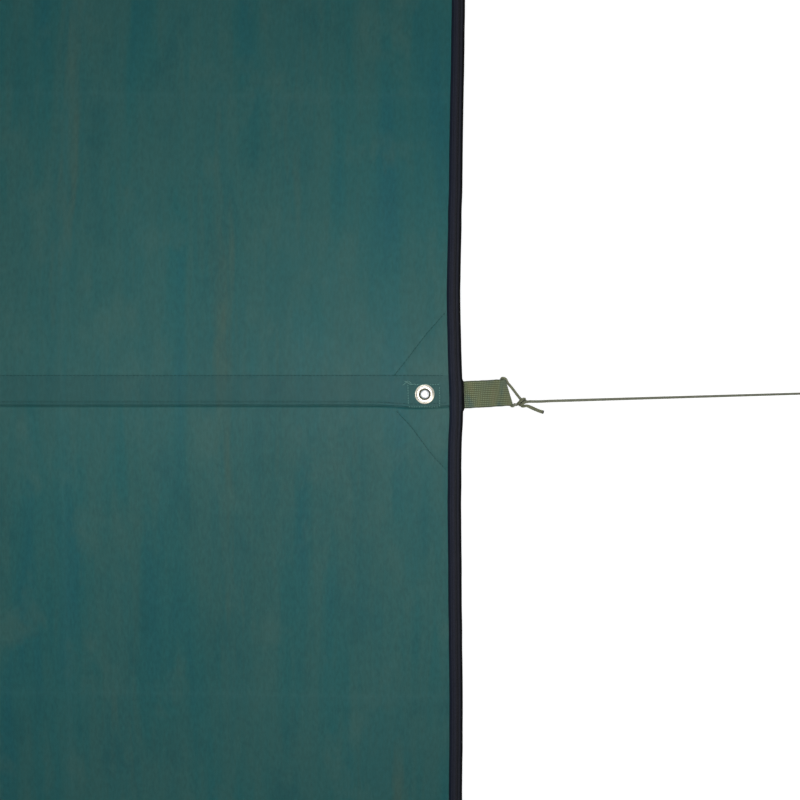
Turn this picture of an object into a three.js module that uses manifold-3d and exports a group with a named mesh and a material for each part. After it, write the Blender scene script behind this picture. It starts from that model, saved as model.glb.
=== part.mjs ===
// A pitched screen house: a two-width fabric roof on six sectional poles, netting walls with a
// zipped door, and six guy lines. Millimetres, +Z up. The origin is on the ground under the
// middle of the roof, +X runs along the ridge and -Y faces the door.
import * as THREE from "three";
import { mergeVertices } from "three/addons/utils/BufferGeometryUtils.js";
import Module from "manifold-3d";

const wasm = await Module();
wasm.setup();

// ---- driving dimensions ----
const GAP = 0.3; // between pieces that rest on each other

const ROOF_LENGTH = 3660; // along the ridge
const ROOF_WIDTH = 2740; // eave to eave
const RIDGE_HEIGHT = 2200; // top face of the fabric at the ridge
const ROOF_DROP = 300; // ridge to eave
const CLOTH = 1.2;
const SEAM_FRONT = -10; // the lap seam of the ridge, measured from the grommet line
const SEAM_BACK = 18;
const JOG = 3.5; // run in which the lower layer steps down under the seam

const TAPE = 0.8; // edge tape and patch thickness
const TAPE_DEPTH = 12;
const PATCH_DEPTH = 72; // reinforcement triangle at each ridge end
const PATCH_HALF_BASE = 74;

const GROMMET_INSET = 35;
const GROMMET_HOLE = 5; // radii
const GROMMET_BARREL = 6;
const GROMMET_RIM = 9.1;
const GROMMET_FLANGE = 1;

const WEBBING_WIDTH = 25.4;
const WEBBING = 2.4; // two layers
const WEBBING_INBOARD = 17;
const LOOP_OVERHANG = 3; // straight run past the edge before the loop bends down
const LOOP_BEND = 47; // radius of the bend
const LOOP_DROOP = THREE.MathUtils.degToRad(50);
const LOOP_EYE = 2.4; // radii
const LOOP_EYE_RIM = 4.4;
const LOOP_SKEW = THREE.MathUtils.degToRad(3.3); // a ridge loop sits slightly off square

const CORD = 1.3; // radius
const KNOT = 4;
const KNOT_REACH = 17; // from the loop's eye: outward, sideways and down
const KNOT_SIDE = -12;
const KNOT_FALL = 24;
const LINE_SKEW = THREE.MathUtils.degToRad(1.5);
const RIDGE_LINE_PITCH = THREE.MathUtils.degToRad(56);
const CORNER_LINE_PITCH = THREE.MathUtils.degToRad(60);
const RETURN_LENGTH = 430; // the end that comes back from the peg through the runner

const RUNNER_FROM_PEG = 420;
const RUNNER_LENGTH = 26;
const RUNNER_WIDTH = 12;
const RUNNER_THICKNESS = 5;
const RUNNER_HOLE = 2.2;

const PEG = 3; // radius of the wire
const PEG_PITCH = THREE.MathUtils.degToRad(60);
const PEG_LINE_HEIGHT = 150; // where the line goes round the peg
const PEG_POINT = 16;
const PEG_NECK = 16; // from the line to the hook
const PEG_HOOK = 8;
const PEG_HOOK_TURN = THREE.MathUtils.degToRad(200);
const WRAP = PEG + CORD + 0.9; // the line's centre from the peg's axis

const POLE_UPPER = 9.5; // radii
const POLE_UPPER_BORE = 8.5;
const POLE_LOWER = 11;
const POLE_LOWER_BORE = POLE_UPPER + GAP;
const POLE_STOP_BORE = 8.8; // crimp that the upper section stands on
const POLE_STOP = 8;
const POLE_SEAT = 950;
const POLE_SOCKET = 90;
const POLE_PLUG = 14;
const SPIKE = 3.75;
const SPIKE_OUT = 18; // above the roof
const FOOT = 15;
const FOOT_HEIGHT = 5;
const FOOT_FLOOR = 6;

const NET = 1.2;
const NET_INSET = 8; // middle of the netting from the roof's edge
const NET_LIFT = 6; // lower edge above the ground

const DOOR_WIDTH = 800;
const DOOR_FOOT = 60;
const DOOR_HEAD = 1830;
const DOOR_EDGE = 4; // the zip's free half stands this far into the doorway
const ZIP_WIDTH = 14;
const ZIP = 1.6;
const SLIDER_WIDTH = 11;
const SLIDER_LENGTH = 15;
const SLIDER_BASE = 2.4;
const BRIDGE = 1.2; // section of the bridge that holds the pull
const BRIDGE_REACH = 4.2;
const BRIDGE_SPAN = 8.8;
const PULL_WIDTH = 5;
const PULL_LENGTH = 34;
const PULL_THICKNESS = 1;
const PULL_EYE = 1.15; // radii
const PULL_RIM = 2.15;
const TOGGLE = 4;
const TOGGLE_LENGTH = 34;
const TOGGLE_FROM_HINGE = 30;
const TOGGLE_HEIGHTS = { top: 1450, bottom: 620 };

const halfX = ROOF_LENGTH / 2;
const halfY = ROOF_WIDTH / 2;
const ROUND = 16; // sides of a pole
const FINE = 24; // sides of a grommet
const THIN = 8; // sides of a cord or a wire
const up = new THREE.Vector3(0, 0, 1);

// ---- materials ----
const finish = (color, roughness, metalness = 0) =>
  new THREE.MeshStandardMaterial({ color, roughness, metalness });
const materials = {
  roof: finish(0x375e5d, 0.55),
  tape: finish(0x282d38, 0.8),
  webbing: finish(0x606a50, 0.85),
  cord: finish(0x57594b, 0.8),
  metal: finish(0xd8d4c8, 0.3, 1),
  pole: finish(0x9a9d9f, 0.4, 0.9),
  peg: finish(0xa9acad, 0.35, 1),
  plastic: finish(0x1d2023, 0.5),
  net: finish(0x20302f, 0.9),
  door: finish(0x2b3f3d, 0.9),
};

// ---- solids ----
function toSolid(geometry) {
  const bare = geometry.clone();
  bare.deleteAttribute("normal");
  bare.deleteAttribute("uv");
  const merged = mergeVertices(bare);
  const mesh = new wasm.Mesh({
    numProp: 3,
    vertProperties: merged.attributes.position.array,
    triVerts: new Uint32Array(merged.index.array),
  });
  return new wasm.Manifold(mesh);
}

function toGeometry(solid) {
  const { vertProperties, triVerts } = solid.getMesh();
  const geometry = new THREE.BufferGeometry();
  geometry.setAttribute("position", new THREE.BufferAttribute(vertProperties, 3));
  geometry.setIndex(new THREE.BufferAttribute(triVerts, 1));
  geometry.computeVertexNormals();
  return geometry;
}

const cut = (body, ...tools) =>
  toGeometry(tools.reduce((rest, tool) => rest.subtract(toSolid(tool)), toSolid(body)));
const join = (...bodies) => toGeometry(bodies.map(toSolid).reduce((sum, body) => sum.add(body)));

function box(low, high) {
  const size = new THREE.Vector3().subVectors(high, low);
  const middle = new THREE.Vector3().addVectors(low, high).multiplyScalar(0.5);
  const geometry = new THREE.BoxGeometry(size.x, size.y, size.z);
  return geometry.translate(middle.x, middle.y, middle.z);
}

// Turns a profile of [radius, height] about Z.
function turned(profile, sides) {
  const points = profile.map(([radius, height]) => new THREE.Vector2(radius, height));
  return new THREE.LatheGeometry(points, sides).rotateX(Math.PI / 2);
}

// An upright round cutter.
const drill = (radius, x, y, low, high) =>
  new THREE.CylinderGeometry(radius, radius, high - low, FINE)
    .rotateX(Math.PI / 2)
    .translate(x, y, (low + high) / 2);

// Stands an extrusion of a [y, z] outline up, so that it runs along X.
const alongX = new THREE.Matrix4().makeBasis(
  new THREE.Vector3(0, 1, 0),
  new THREE.Vector3(0, 0, 1),
  new THREE.Vector3(1, 0, 0),
);

// A curve whose extrusion steps fall on the points it is given.
class Route extends THREE.Curve {
  constructor(points) {
    super();
    this.points = points;
  }

  getPoint(t, target = new THREE.Vector3()) {
    const last = this.points.length - 1;
    const place = Math.min(Math.max(t, 0), 1) * last;
    const index = Math.min(Math.floor(place), last - 1);
    return target.lerpVectors(this.points[index], this.points[index + 1], place - index);
  }

  getPointAt(u, target) {
    return this.getPoint(u, target);
  }

  getTangentAt(u, target = new THREE.Vector3()) {
    const reach = 0.5 / (this.points.length - 1);
    const before = this.getPoint(u - reach);
    const after = this.getPoint(u + reach);
    return target.subVectors(after, before).normalize();
  }
}

function rod(points, radius, sides = THIN) {
  const section = new THREE.Shape().absarc(0, 0, radius, 0, 2 * Math.PI);
  return new THREE.ExtrudeGeometry(section, {
    extrudePath: new Route(points),
    steps: points.length - 1,
    curveSegments: sides / 2,
  });
}

function add(parent, name, geometry, material) {
  const mesh = new THREE.Mesh(geometry, material);
  mesh.name = name;
  parent.add(mesh);
  return mesh;
}

// ---- the roof's surface ----
const frontSlope = ROOF_DROP / (halfY + SEAM_FRONT);
const backSlope = ROOF_DROP / (halfY - SEAM_BACK);

function roofTop(y) {
  if (y < SEAM_FRONT) return RIDGE_HEIGHT - frontSlope * (SEAM_FRONT - y);
  if (y > SEAM_BACK) return RIDGE_HEIGHT - backSlope * (y - SEAM_BACK);
  return RIDGE_HEIGHT;
}

// A layer that follows the roof from x0 to x1. Its two faces are lists of [y, depth below the
// roof's top face], both from front to back.
function layer(upper, lower, x0, x1) {
  const outline = [...upper, ...lower.toReversed()];
  const shape = new THREE.Shape(outline.map(([y, depth]) => new THREE.Vector2(y, roofTop(y) - depth)));
  const geometry = new THREE.ExtrudeGeometry(shape, { depth: x1 - x0, bevelEnabled: false });
  return geometry.applyMatrix4(alongX).translate(x0, 0, 0);
}

// A face at one depth, with a point at each fold of the roof.
const level = (depth, front = -halfY, back = halfY) => [
  [front, depth],
  [SEAM_FRONT, depth],
  [SEAM_BACK, depth],
  [back, depth],
];

// The whole roof's lower face, which is one layer deeper along the ridge seam.
const DOUBLE = 2 * CLOTH + GAP;
const underside = (extra, front = -halfY, back = halfY) => [
  [front, CLOTH + extra],
  [SEAM_FRONT - JOG - 1, CLOTH + extra],
  [SEAM_FRONT - 1, DOUBLE + extra],
  [SEAM_FRONT, DOUBLE + extra],
  [SEAM_BACK, DOUBLE + extra],
  [SEAM_BACK + 1, DOUBLE + extra],
  [SEAM_BACK + 1 + JOG, CLOTH + extra],
  [back, CLOTH + extra],
];

const grommetX = halfX - GROMMET_INSET;
const grommetY = halfY - GROMMET_INSET;

function grommetHoles(rows) {
  const holes = [];
  for (const x of [-grommetX, grommetX])
    for (const y of rows)
      holes.push(drill(GROMMET_BARREL + 2 * GAP, x, y, roofTop(y) - 20, roofTop(y) + 20));
  return holes;
}

function backPanel() {
  const sheet = layer(
    [[SEAM_FRONT, 0], [SEAM_BACK, 0], [halfY, 0]],
    [[SEAM_FRONT, CLOTH], [SEAM_BACK, CLOTH], [halfY, CLOTH]],
    -halfX,
    halfX,
  );
  return cut(sheet, ...grommetHoles([0, grommetY]));
}

// The front width passes under the back width along the ridge.
function frontPanel() {
  const face = (depth) => [
    [-halfY, depth],
    [SEAM_FRONT - JOG, depth],
    [SEAM_FRONT - GAP, depth + CLOTH + GAP],
    [SEAM_FRONT, depth + CLOTH + GAP],
    [SEAM_BACK, depth + CLOTH + GAP],
  ];
  return cut(layer(face(0), face(CLOTH), -halfX, halfX), ...grommetHoles([0, -grommetY]));
}

// ---- edge tape: a channel folded round each edge of the roof ----
function gableTape(side) {
  const wide = halfY + GAP + TAPE;
  const span = (inner, outer) => (side > 0 ? [inner, outer] : [-outer, -inner]);
  const shell = layer(
    level(-GAP - TAPE, -wide, wide),
    underside(GAP + TAPE, -wide, wide),
    ...span(halfX - TAPE_DEPTH, halfX + GAP + TAPE),
  );
  const hollow = layer(
    level(-GAP, -wide - 1, wide + 1),
    underside(GAP, -wide - 1, wide + 1),
    ...span(halfX - TAPE_DEPTH - 1, halfX + GAP),
  );
  return cut(shell, hollow);
}

function eaveTape(side) {
  const end = halfX - TAPE_DEPTH - GAP;
  const rows = (inner, outer) => (side > 0 ? [inner, outer] : [-outer, -inner]);
  const face = (depth, inner, outer) => rows(inner, outer).map((y) => [y, depth]);
  const near = halfY - TAPE_DEPTH;
  const far = halfY + GAP + TAPE;
  const shell = layer(face(-GAP - TAPE, near, far), face(CLOTH + GAP + TAPE, near, far), -end, end);
  const hollow = layer(
    face(-GAP, near - 1, halfY + GAP),
    face(CLOTH + GAP, near - 1, halfY + GAP),
    -end - 1,
    end + 1,
  );
  return cut(shell, hollow);
}

// ---- reinforcement triangle under each ridge end ----
function ridgePatch(side) {
  const edge = halfX - TAPE_DEPTH - GAP;
  const tip = halfX - PATCH_DEPTH;
  const sheet = layer(
    underside(GAP, -2 * PATCH_HALF_BASE, 2 * PATCH_HALF_BASE),
    underside(GAP + TAPE, -2 * PATCH_HALF_BASE, 2 * PATCH_HALF_BASE),
    ...(side > 0 ? [tip - 1, edge + 1] : [-edge - 1, 1 - tip]),
  );
  const plan = new THREE.Shape([
    new THREE.Vector2(tip, 6),
    new THREE.Vector2(tip, -6),
    new THREE.Vector2(edge, -PATCH_HALF_BASE),
    new THREE.Vector2(edge, PATCH_HALF_BASE),
  ]);
  const prism = new THREE.ExtrudeGeometry(plan, { depth: 200, bevelEnabled: false });
  prism.translate(0, 0, RIDGE_HEIGHT - 150);
  if (side < 0) prism.rotateZ(Math.PI);
  const triangle = toSolid(sheet).intersect(toSolid(prism));
  return cut(toGeometry(triangle), drill(GROMMET_BARREL + GAP, side * grommetX, 0, 2100, 2300));
}

// ---- grommet and webbing loop, about the grommet's centre on the roof's top face ----
function grommet(stack) {
  const top = GAP + GROMMET_FLANGE;
  const foot = -stack - GAP - GROMMET_FLANGE;
  return turned(
    [
      [GROMMET_HOLE, foot],
      [GROMMET_RIM, foot],
      [GROMMET_RIM, foot + GROMMET_FLANGE],
      [GROMMET_BARREL, foot + GROMMET_FLANGE],
      [GROMMET_BARREL, GAP],
      [GROMMET_RIM, GAP],
      [GROMMET_RIM - 1, top],
      [GROMMET_HOLE + 1, top],
      [GROMMET_HOLE, GAP],
      [GROMMET_HOLE, foot],
    ],
    FINE,
  );
}

// Where the webbing's middle line is after the straight run and part of the bend.
function loopPoint(reach, depth, angle, offset = 0) {
  const radius = LOOP_BEND + offset;
  return new THREE.Vector2(
    reach + LOOP_OVERHANG + radius * Math.sin(angle),
    -depth - LOOP_BEND + radius * Math.cos(angle),
  );
}

function loopEye(reach, depth) {
  const beyond = LOOP_EYE + (LOOP_EYE_RIM - LOOP_EYE) / 2;
  const end = loopPoint(reach, depth, LOOP_DROOP);
  return end.add(new THREE.Vector2(Math.cos(LOOP_DROOP), -Math.sin(LOOP_DROOP)).multiplyScalar(beyond));
}

// Sweeps an outline in the loop's upright plane across the webbing's width.
function acrossWebbing(shape, width) {
  const geometry = new THREE.ExtrudeGeometry(shape, {
    depth: width,
    bevelEnabled: false,
    curveSegments: 6,
  });
  return geometry.rotateX(Math.PI / 2).translate(0, width / 2, 0);
}

function webbingStrip(reach, depth, spare) {
  const half = WEBBING / 2 + spare;
  const steps = 6;
  const outer = [];
  const inner = [];
  for (let i = 0; i <= steps; i++) {
    outer.push(loopPoint(reach, depth, (LOOP_DROOP * i) / steps, half));
    inner.push(loopPoint(reach, depth, (LOOP_DROOP * i) / steps, -half));
  }
  const start = -WEBBING_INBOARD - spare;
  const outline = [new THREE.Vector2(start, half - depth), ...outer];
  outline.push(...inner.toReversed(), new THREE.Vector2(start, -half - depth));
  return acrossWebbing(new THREE.Shape(outline), WEBBING_WIDTH + 2 * spare);
}

function guyLoop(reach, depth) {
  const eye = loopEye(reach, depth);
  const ring = new THREE.Shape().absarc(eye.x, eye.y, LOOP_EYE_RIM, 0, 2 * Math.PI);
  ring.holes.push(new THREE.Path().absarc(eye.x, eye.y, LOOP_EYE, 0, 2 * Math.PI, true));
  const body = join(webbingStrip(reach, depth, 0), acrossWebbing(ring, WEBBING_WIDTH));
  return cut(body, drill(GROMMET_BARREL + GAP, 0, 0, -20, 20));
}

// ---- poles, about their own axis, from the ground up ----
function lowerPole() {
  const top = POLE_SEAT + POLE_SOCKET;
  return turned(
    [
      [0, 0],
      [FOOT, 0],
      [FOOT, FOOT_HEIGHT],
      [POLE_LOWER, 3 * FOOT_HEIGHT],
      [POLE_LOWER, top],
      [POLE_LOWER_BORE, top],
      [POLE_LOWER_BORE, POLE_SEAT],
      [POLE_STOP_BORE, POLE_SEAT],
      [POLE_STOP_BORE, POLE_SEAT - POLE_STOP],
      [POLE_LOWER_BORE, POLE_SEAT - POLE_STOP],
      [POLE_LOWER_BORE, FOOT_FLOOR],
      [0, FOOT_FLOOR],
    ],
    ROUND,
  );
}

function upperPole(shoulder, tip) {
  const foot = POLE_SEAT + GAP;
  return turned(
    [
      [0, shoulder - POLE_PLUG],
      [POLE_UPPER_BORE, shoulder - POLE_PLUG],
      [POLE_UPPER_BORE, foot],
      [POLE_UPPER, foot],
      [POLE_UPPER, shoulder - 1],
      [POLE_UPPER - 1, shoulder],
      [SPIKE, shoulder],
      [SPIKE, tip - 3],
      [SPIKE / 2, tip - 0.6],
      [0, tip],
    ],
    ROUND,
  );
}

// ---- guy line, runner and peg, in a frame whose X points outward over the ground ----
// The line's middle runs down one side of the peg, round it and back up the other side.
function lineFrame(knot, pitch) {
  const along = new THREE.Vector3(Math.cos(pitch), 0, -Math.sin(pitch));
  const side = new THREE.Vector3(0, 1, 0);
  const length = (knot.z - PEG_LINE_HEIGHT) / Math.sin(pitch);
  const wrap = knot.clone().addScaledVector(along, length).addScaledVector(side, -WRAP);
  return { knot, along, side, wrap };
}

const at = (origin, ...steps) =>
  steps.reduce((point, [axis, distance]) => point.addScaledVector(axis, distance), origin.clone());

function guyLine(line, eye, eyeAxis) {
  const { knot, along, side, wrap } = line;
  const turns = 8;
  const route = [knot.clone()];
  for (let i = 0; i <= turns; i++) {
    const angle = (Math.PI * i) / turns;
    route.push(at(wrap, [side, WRAP * Math.cos(angle)], [along, WRAP * Math.sin(angle)]));
  }
  route.push(at(wrap, [side, -WRAP], [along, -RETURN_LENGTH]));

  const edge = WEBBING_WIDTH / 2;
  const leg = (hand) => [
    at(eye, [eyeAxis, hand * (edge + CORD)]),
    at(eye, [eyeAxis, hand * (edge + 2.5 * CORD)], [along, CORD]),
    at(eye, [eyeAxis, hand * (edge + 1.8 * CORD)], [along, 6 * CORD]),
  ];
  const bight = [knot.clone(), ...leg(1).toReversed(), ...leg(-1), knot.clone()];
  const lump = new THREE.IcosahedronGeometry(KNOT, 1).translate(knot.x, knot.y, knot.z);
  return join(rod(route, CORD), rod(bight, CORD), lump);
}

// The runner lies across the line, with one hole on each strand.
function runner() {
  const radius = RUNNER_WIDTH / 2;
  const half = RUNNER_LENGTH / 2 - radius;
  const plan = new THREE.Shape();
  plan.absarc(half, 0, radius, -Math.PI / 2, Math.PI / 2);
  plan.absarc(-half, 0, radius, Math.PI / 2, (3 * Math.PI) / 2);
  plan.closePath();
  for (const x of [-WRAP, WRAP])
    plan.holes.push(new THREE.Path().absarc(x, 0, RUNNER_HOLE, 0, 2 * Math.PI, true));
  const geometry = new THREE.ExtrudeGeometry(plan, {
    depth: RUNNER_THICKNESS,
    bevelEnabled: false,
    curveSegments: 6,
  });
  return geometry.translate(0, 0, -RUNNER_THICKNESS / 2);
}

function placeRunner(mesh, line) {
  const { along, side, wrap } = line;
  const across = new THREE.Vector3().crossVectors(along, side);
  mesh.quaternion.setFromRotationMatrix(new THREE.Matrix4().makeBasis(side, across, along));
  mesh.position.copy(at(wrap, [along, -RUNNER_FROM_PEG]));
}

function peg(wrap) {
  const shank = new THREE.Vector3(Math.cos(PEG_PITCH), 0, Math.sin(PEG_PITCH));
  const away = new THREE.Vector3(Math.sin(PEG_PITCH), 0, -Math.cos(PEG_PITCH));
  const tip = at(wrap, [shank, -wrap.z / Math.sin(PEG_PITCH)]);
  const neck = at(wrap, [shank, PEG_NECK]);
  const route = [at(tip, [shank, PEG_POINT])];
  const turns = 10;
  for (let i = 0; i <= turns; i++) {
    const angle = (PEG_HOOK_TURN * i) / turns;
    route.push(
      at(neck, [away, PEG_HOOK * (1 - Math.cos(angle))], [shank, PEG_HOOK * Math.sin(angle)]),
    );
  }
  const point = new THREE.ConeGeometry(PEG, PEG_POINT + 1, THIN).rotateX(-Math.PI / 2);
  point.applyQuaternion(new THREE.Quaternion().setFromUnitVectors(up, shank));
  const middle = at(tip, [shank, (PEG_POINT + 1) / 2]);
  return join(rod(route, PEG), point.translate(middle.x, middle.y, middle.z));
}

// ---- the six stations: a pole, a grommet, a loop, a line, a runner and a peg each ----
const stations = [
  { name: "ridge_right", sx: 1, sy: 0 },
  { name: "ridge_left", sx: -1, sy: 0 },
  { name: "front_right", sx: 1, sy: -1 },
  { name: "front_left", sx: -1, sy: -1 },
  { name: "back_right", sx: 1, sy: 1 },
  { name: "back_left", sx: -1, sy: 1 },
];

function layOut({ sx, sy }) {
  const ridge = sy === 0;
  const slope = sy > 0 ? backSlope : frontSlope;
  const tilt = ridge ? 0 : Math.atan(slope);
  const normal = new THREE.Vector3(0, sy * Math.sin(tilt), Math.cos(tilt));
  const square = Math.atan2(sy, sx);
  const seatTurn = square + (ridge ? LOOP_SKEW : 0);
  const flat = new THREE.Vector3(Math.cos(seatTurn), Math.sin(seatTurn), 0);
  const outward = flat.addScaledVector(normal, -flat.dot(normal)).normalize();
  const across = new THREE.Vector3().crossVectors(normal, outward);
  const cloth = ridge ? DOUBLE : CLOTH;
  const stack = cloth + GAP + TAPE + GAP + WEBBING;
  return {
    place: new THREE.Vector3(sx * grommetX, sy * grommetY, roofTop(sy * grommetY)),
    seat: new THREE.Matrix4().makeBasis(outward, across, normal),
    lineTurn: square + (ridge ? LINE_SKEW : 0),
    pitch: ridge ? RIDGE_LINE_PITCH : CORNER_LINE_PITCH,
    reach: ridge ? GROMMET_INSET : GROMMET_INSET * Math.SQRT2,
    stack,
    shoulderDrop: (stack + GAP + GROMMET_FLANGE) * Math.cos(tilt) + GROMMET_RIM * Math.sin(tilt) + GAP,
  };
}

function buildStation(house, station) {
  const { name } = station;
  const { place, seat, lineTurn, pitch, reach, stack, shoulderDrop } = layOut(station);
  const depth = stack - WEBBING / 2;

  const seatGroup = new THREE.Group();
  seatGroup.quaternion.setFromRotationMatrix(seat);
  seatGroup.position.copy(place);
  house.add(seatGroup);
  add(seatGroup, `grommet_${name}`, grommet(stack), materials.metal);
  add(seatGroup, `guy_loop_${name}`, guyLoop(reach, depth), materials.webbing);

  // The pole stands under the middle of the grommet, which leans with the roof.
  house.updateMatrixWorld(true);
  const middle = seatGroup.localToWorld(new THREE.Vector3(0, 0, -stack / 2));
  const ground = new THREE.Group();
  ground.position.set(middle.x, middle.y, 0);
  ground.rotation.z = lineTurn;
  house.add(ground);
  add(ground, `pole_lower_${name}`, lowerPole(), materials.pole);
  const shoulder = place.z - shoulderDrop;
  add(ground, `pole_upper_${name}`, upperPole(shoulder, place.z + SPIKE_OUT), materials.pole);

  house.updateMatrixWorld(true);
  const eyePlan = loopEye(reach, depth);
  const eye = ground.worldToLocal(seatGroup.localToWorld(new THREE.Vector3(eyePlan.x, 0, eyePlan.y)));
  const beside = new THREE.Vector3(eyePlan.x, 1, eyePlan.y);
  const eyeAxis = ground.worldToLocal(seatGroup.localToWorld(beside)).sub(eye);
  const knot = eye.clone().add(new THREE.Vector3(KNOT_REACH, KNOT_SIDE, -KNOT_FALL));
  const line = lineFrame(knot, pitch);
  add(ground, `guy_line_${name}`, guyLine(line, eye, eyeAxis), materials.cord);
  placeRunner(add(ground, `line_runner_${name}`, runner(), materials.plastic), line);
  add(ground, `peg_${name}`, peg(line.wrap), materials.peg);

  return webbingStrip(reach, depth, GAP).applyMatrix4(seatGroup.matrixWorld);
}

// ---- netting walls ----
const netTop = GAP + TAPE + GAP; // below the roof's lower face, under the edge tape
const gableNet = halfX - NET_INSET;
const eaveNet = halfY - NET_INSET;

function gableWall(side, clearances) {
  const wide = eaveNet + NET / 2;
  const top = underside(netTop, -wide, wide);
  const foot = [-wide, wide].map((y) => [y, roofTop(y) - NET_LIFT]);
  const middle = side * gableNet;
  return cut(layer(top, foot, middle - NET / 2, middle + NET / 2), ...clearances);
}

function eaveWall(side, clearances) {
  const end = gableNet - NET / 2 - GAP;
  const near = side * eaveNet - NET / 2;
  const top = roofTop(halfY - NET_INSET + NET / 2) - CLOTH - netTop;
  const sheet = box(new THREE.Vector3(-end, near, NET_LIFT), new THREE.Vector3(end, near + NET, top));
  return cut(sheet, ...clearances);
}

// ---- door: a netting panel hinged on its left edge, zipped on its right ----
const doorHalf = DOOR_WIDTH / 2;
const wallFace = -eaveNet - NET / 2; // outer face of the front wall

function doorway() {
  return box(
    new THREE.Vector3(-doorHalf, wallFace - 1, DOOR_FOOT),
    new THREE.Vector3(doorHalf, wallFace + NET + 1, DOOR_HEAD),
  );
}

function buildDoor(house) {
  const panel = box(
    new THREE.Vector3(-doorHalf + 2 * GAP, wallFace, DOOR_FOOT + 2),
    new THREE.Vector3(doorHalf - DOOR_EDGE, wallFace + NET, DOOR_HEAD - 2),
  );
  add(house, "door_panel", panel, materials.door);

  const zipFace = wallFace - GAP;
  const zipLeft = doorHalf - DOOR_EDGE + GAP;
  const track = box(
    new THREE.Vector3(zipLeft, zipFace - ZIP, DOOR_FOOT),
    new THREE.Vector3(zipLeft + ZIP_WIDTH, zipFace, DOOR_HEAD),
  );
  add(house, "door_zip_track", track, materials.tape);
  buildSlider(house, zipLeft + GAP + SLIDER_WIDTH / 2, zipFace - ZIP - GAP);
  buildToggles(house, zipFace);
}

// The slider stands at the closed, upper end of the zip. Its bridge carries the hanging pull.
function buildSlider(house, x, face) {
  const carrier = new THREE.Group();
  carrier.position.set(x, face, DOOR_HEAD - SLIDER_LENGTH);
  house.add(carrier);
  const half = SLIDER_WIDTH / 2;
  const base = box(
    new THREE.Vector3(-half, -SLIDER_BASE, -SLIDER_LENGTH / 2),
    new THREE.Vector3(half, 0, SLIDER_LENGTH / 2),
  );
  const front = -SLIDER_BASE - BRIDGE_REACH;
  const span = BRIDGE_SPAN / 2;
  const outside = box(
    new THREE.Vector3(-span, front, -BRIDGE / 2),
    new THREE.Vector3(span, -SLIDER_BASE / 2, BRIDGE / 2),
  );
  const inside = box(
    new THREE.Vector3(-span + BRIDGE, front + BRIDGE, -BRIDGE),
    new THREE.Vector3(span - BRIDGE, -SLIDER_BASE, BRIDGE),
  );
  add(carrier, "door_zip_slider", join(base, cut(outside, inside)), materials.metal);
  const pull = add(carrier, "door_zip_pull", zipPull(), materials.metal);
  pull.position.set(0, front + BRIDGE / 2, 0);
}

// A tag that hangs from the bridge's cross bar by a rolled eye, which is at its own origin.
function zipPull() {
  const half = PULL_THICKNESS / 2;
  const root = Math.sqrt(PULL_RIM ** 2 - half ** 2);
  const start = Math.atan2(-root, half);
  const outline = new THREE.Shape();
  outline.absarc(0, 0, PULL_RIM, start, Math.PI - start);
  outline.lineTo(-half, -PULL_LENGTH);
  outline.lineTo(half, -PULL_LENGTH);
  outline.closePath();
  outline.holes.push(new THREE.Path().absarc(0, 0, PULL_EYE, 0, 2 * Math.PI, true));
  const geometry = new THREE.ExtrudeGeometry(outline, {
    depth: PULL_WIDTH,
    bevelEnabled: false,
    curveSegments: 8,
  });
  return geometry.translate(0, 0, -PULL_WIDTH / 2).applyMatrix4(alongX);
}

function buildToggles(house, face) {
  for (const [name, height] of Object.entries(TOGGLE_HEIGHTS)) {
    const bar = new THREE.CapsuleGeometry(TOGGLE, TOGGLE_LENGTH - 2 * TOGGLE, 3, 12).rotateX(Math.PI / 2);
    const toggle = add(house, `door_toggle_${name}`, bar, materials.plastic);
    toggle.position.set(-doorHalf - TOGGLE_FROM_HINGE, face - TOGGLE, height);
  }
}

// ---- assembly ----
function buildHouse() {
  const house = new THREE.Group();
  add(house, "roof_panel_back", backPanel(), materials.roof);
  add(house, "roof_panel_front", frontPanel(), materials.roof);
  const clearances = stations.map((station) => buildStation(house, station));
  for (const [name, side] of Object.entries({ right: 1, left: -1 })) {
    add(house, `edge_tape_${name}`, gableTape(side), materials.tape);
    add(house, `ridge_patch_${name}`, ridgePatch(side), materials.roof);
    add(house, `wall_${name}`, gableWall(side, clearances), materials.net);
  }
  for (const [name, side] of Object.entries({ front: -1, back: 1 })) {
    add(house, `edge_tape_${name}`, eaveTape(side), materials.tape);
    const openings = side < 0 ? [doorway()] : [];
    add(house, `wall_${name}`, eaveWall(side, [...clearances, ...openings]), materials.net);
  }
  buildDoor(house);
  return house;
}

export default buildHouse();
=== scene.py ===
"""Looks of the screen house. Metres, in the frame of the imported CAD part: the origin is on the
ground under the middle of the roof, +X runs along the ridge and -Y faces the door."""
import math
import bpy
import numpy as np
from mathutils import Matrix, Vector


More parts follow.
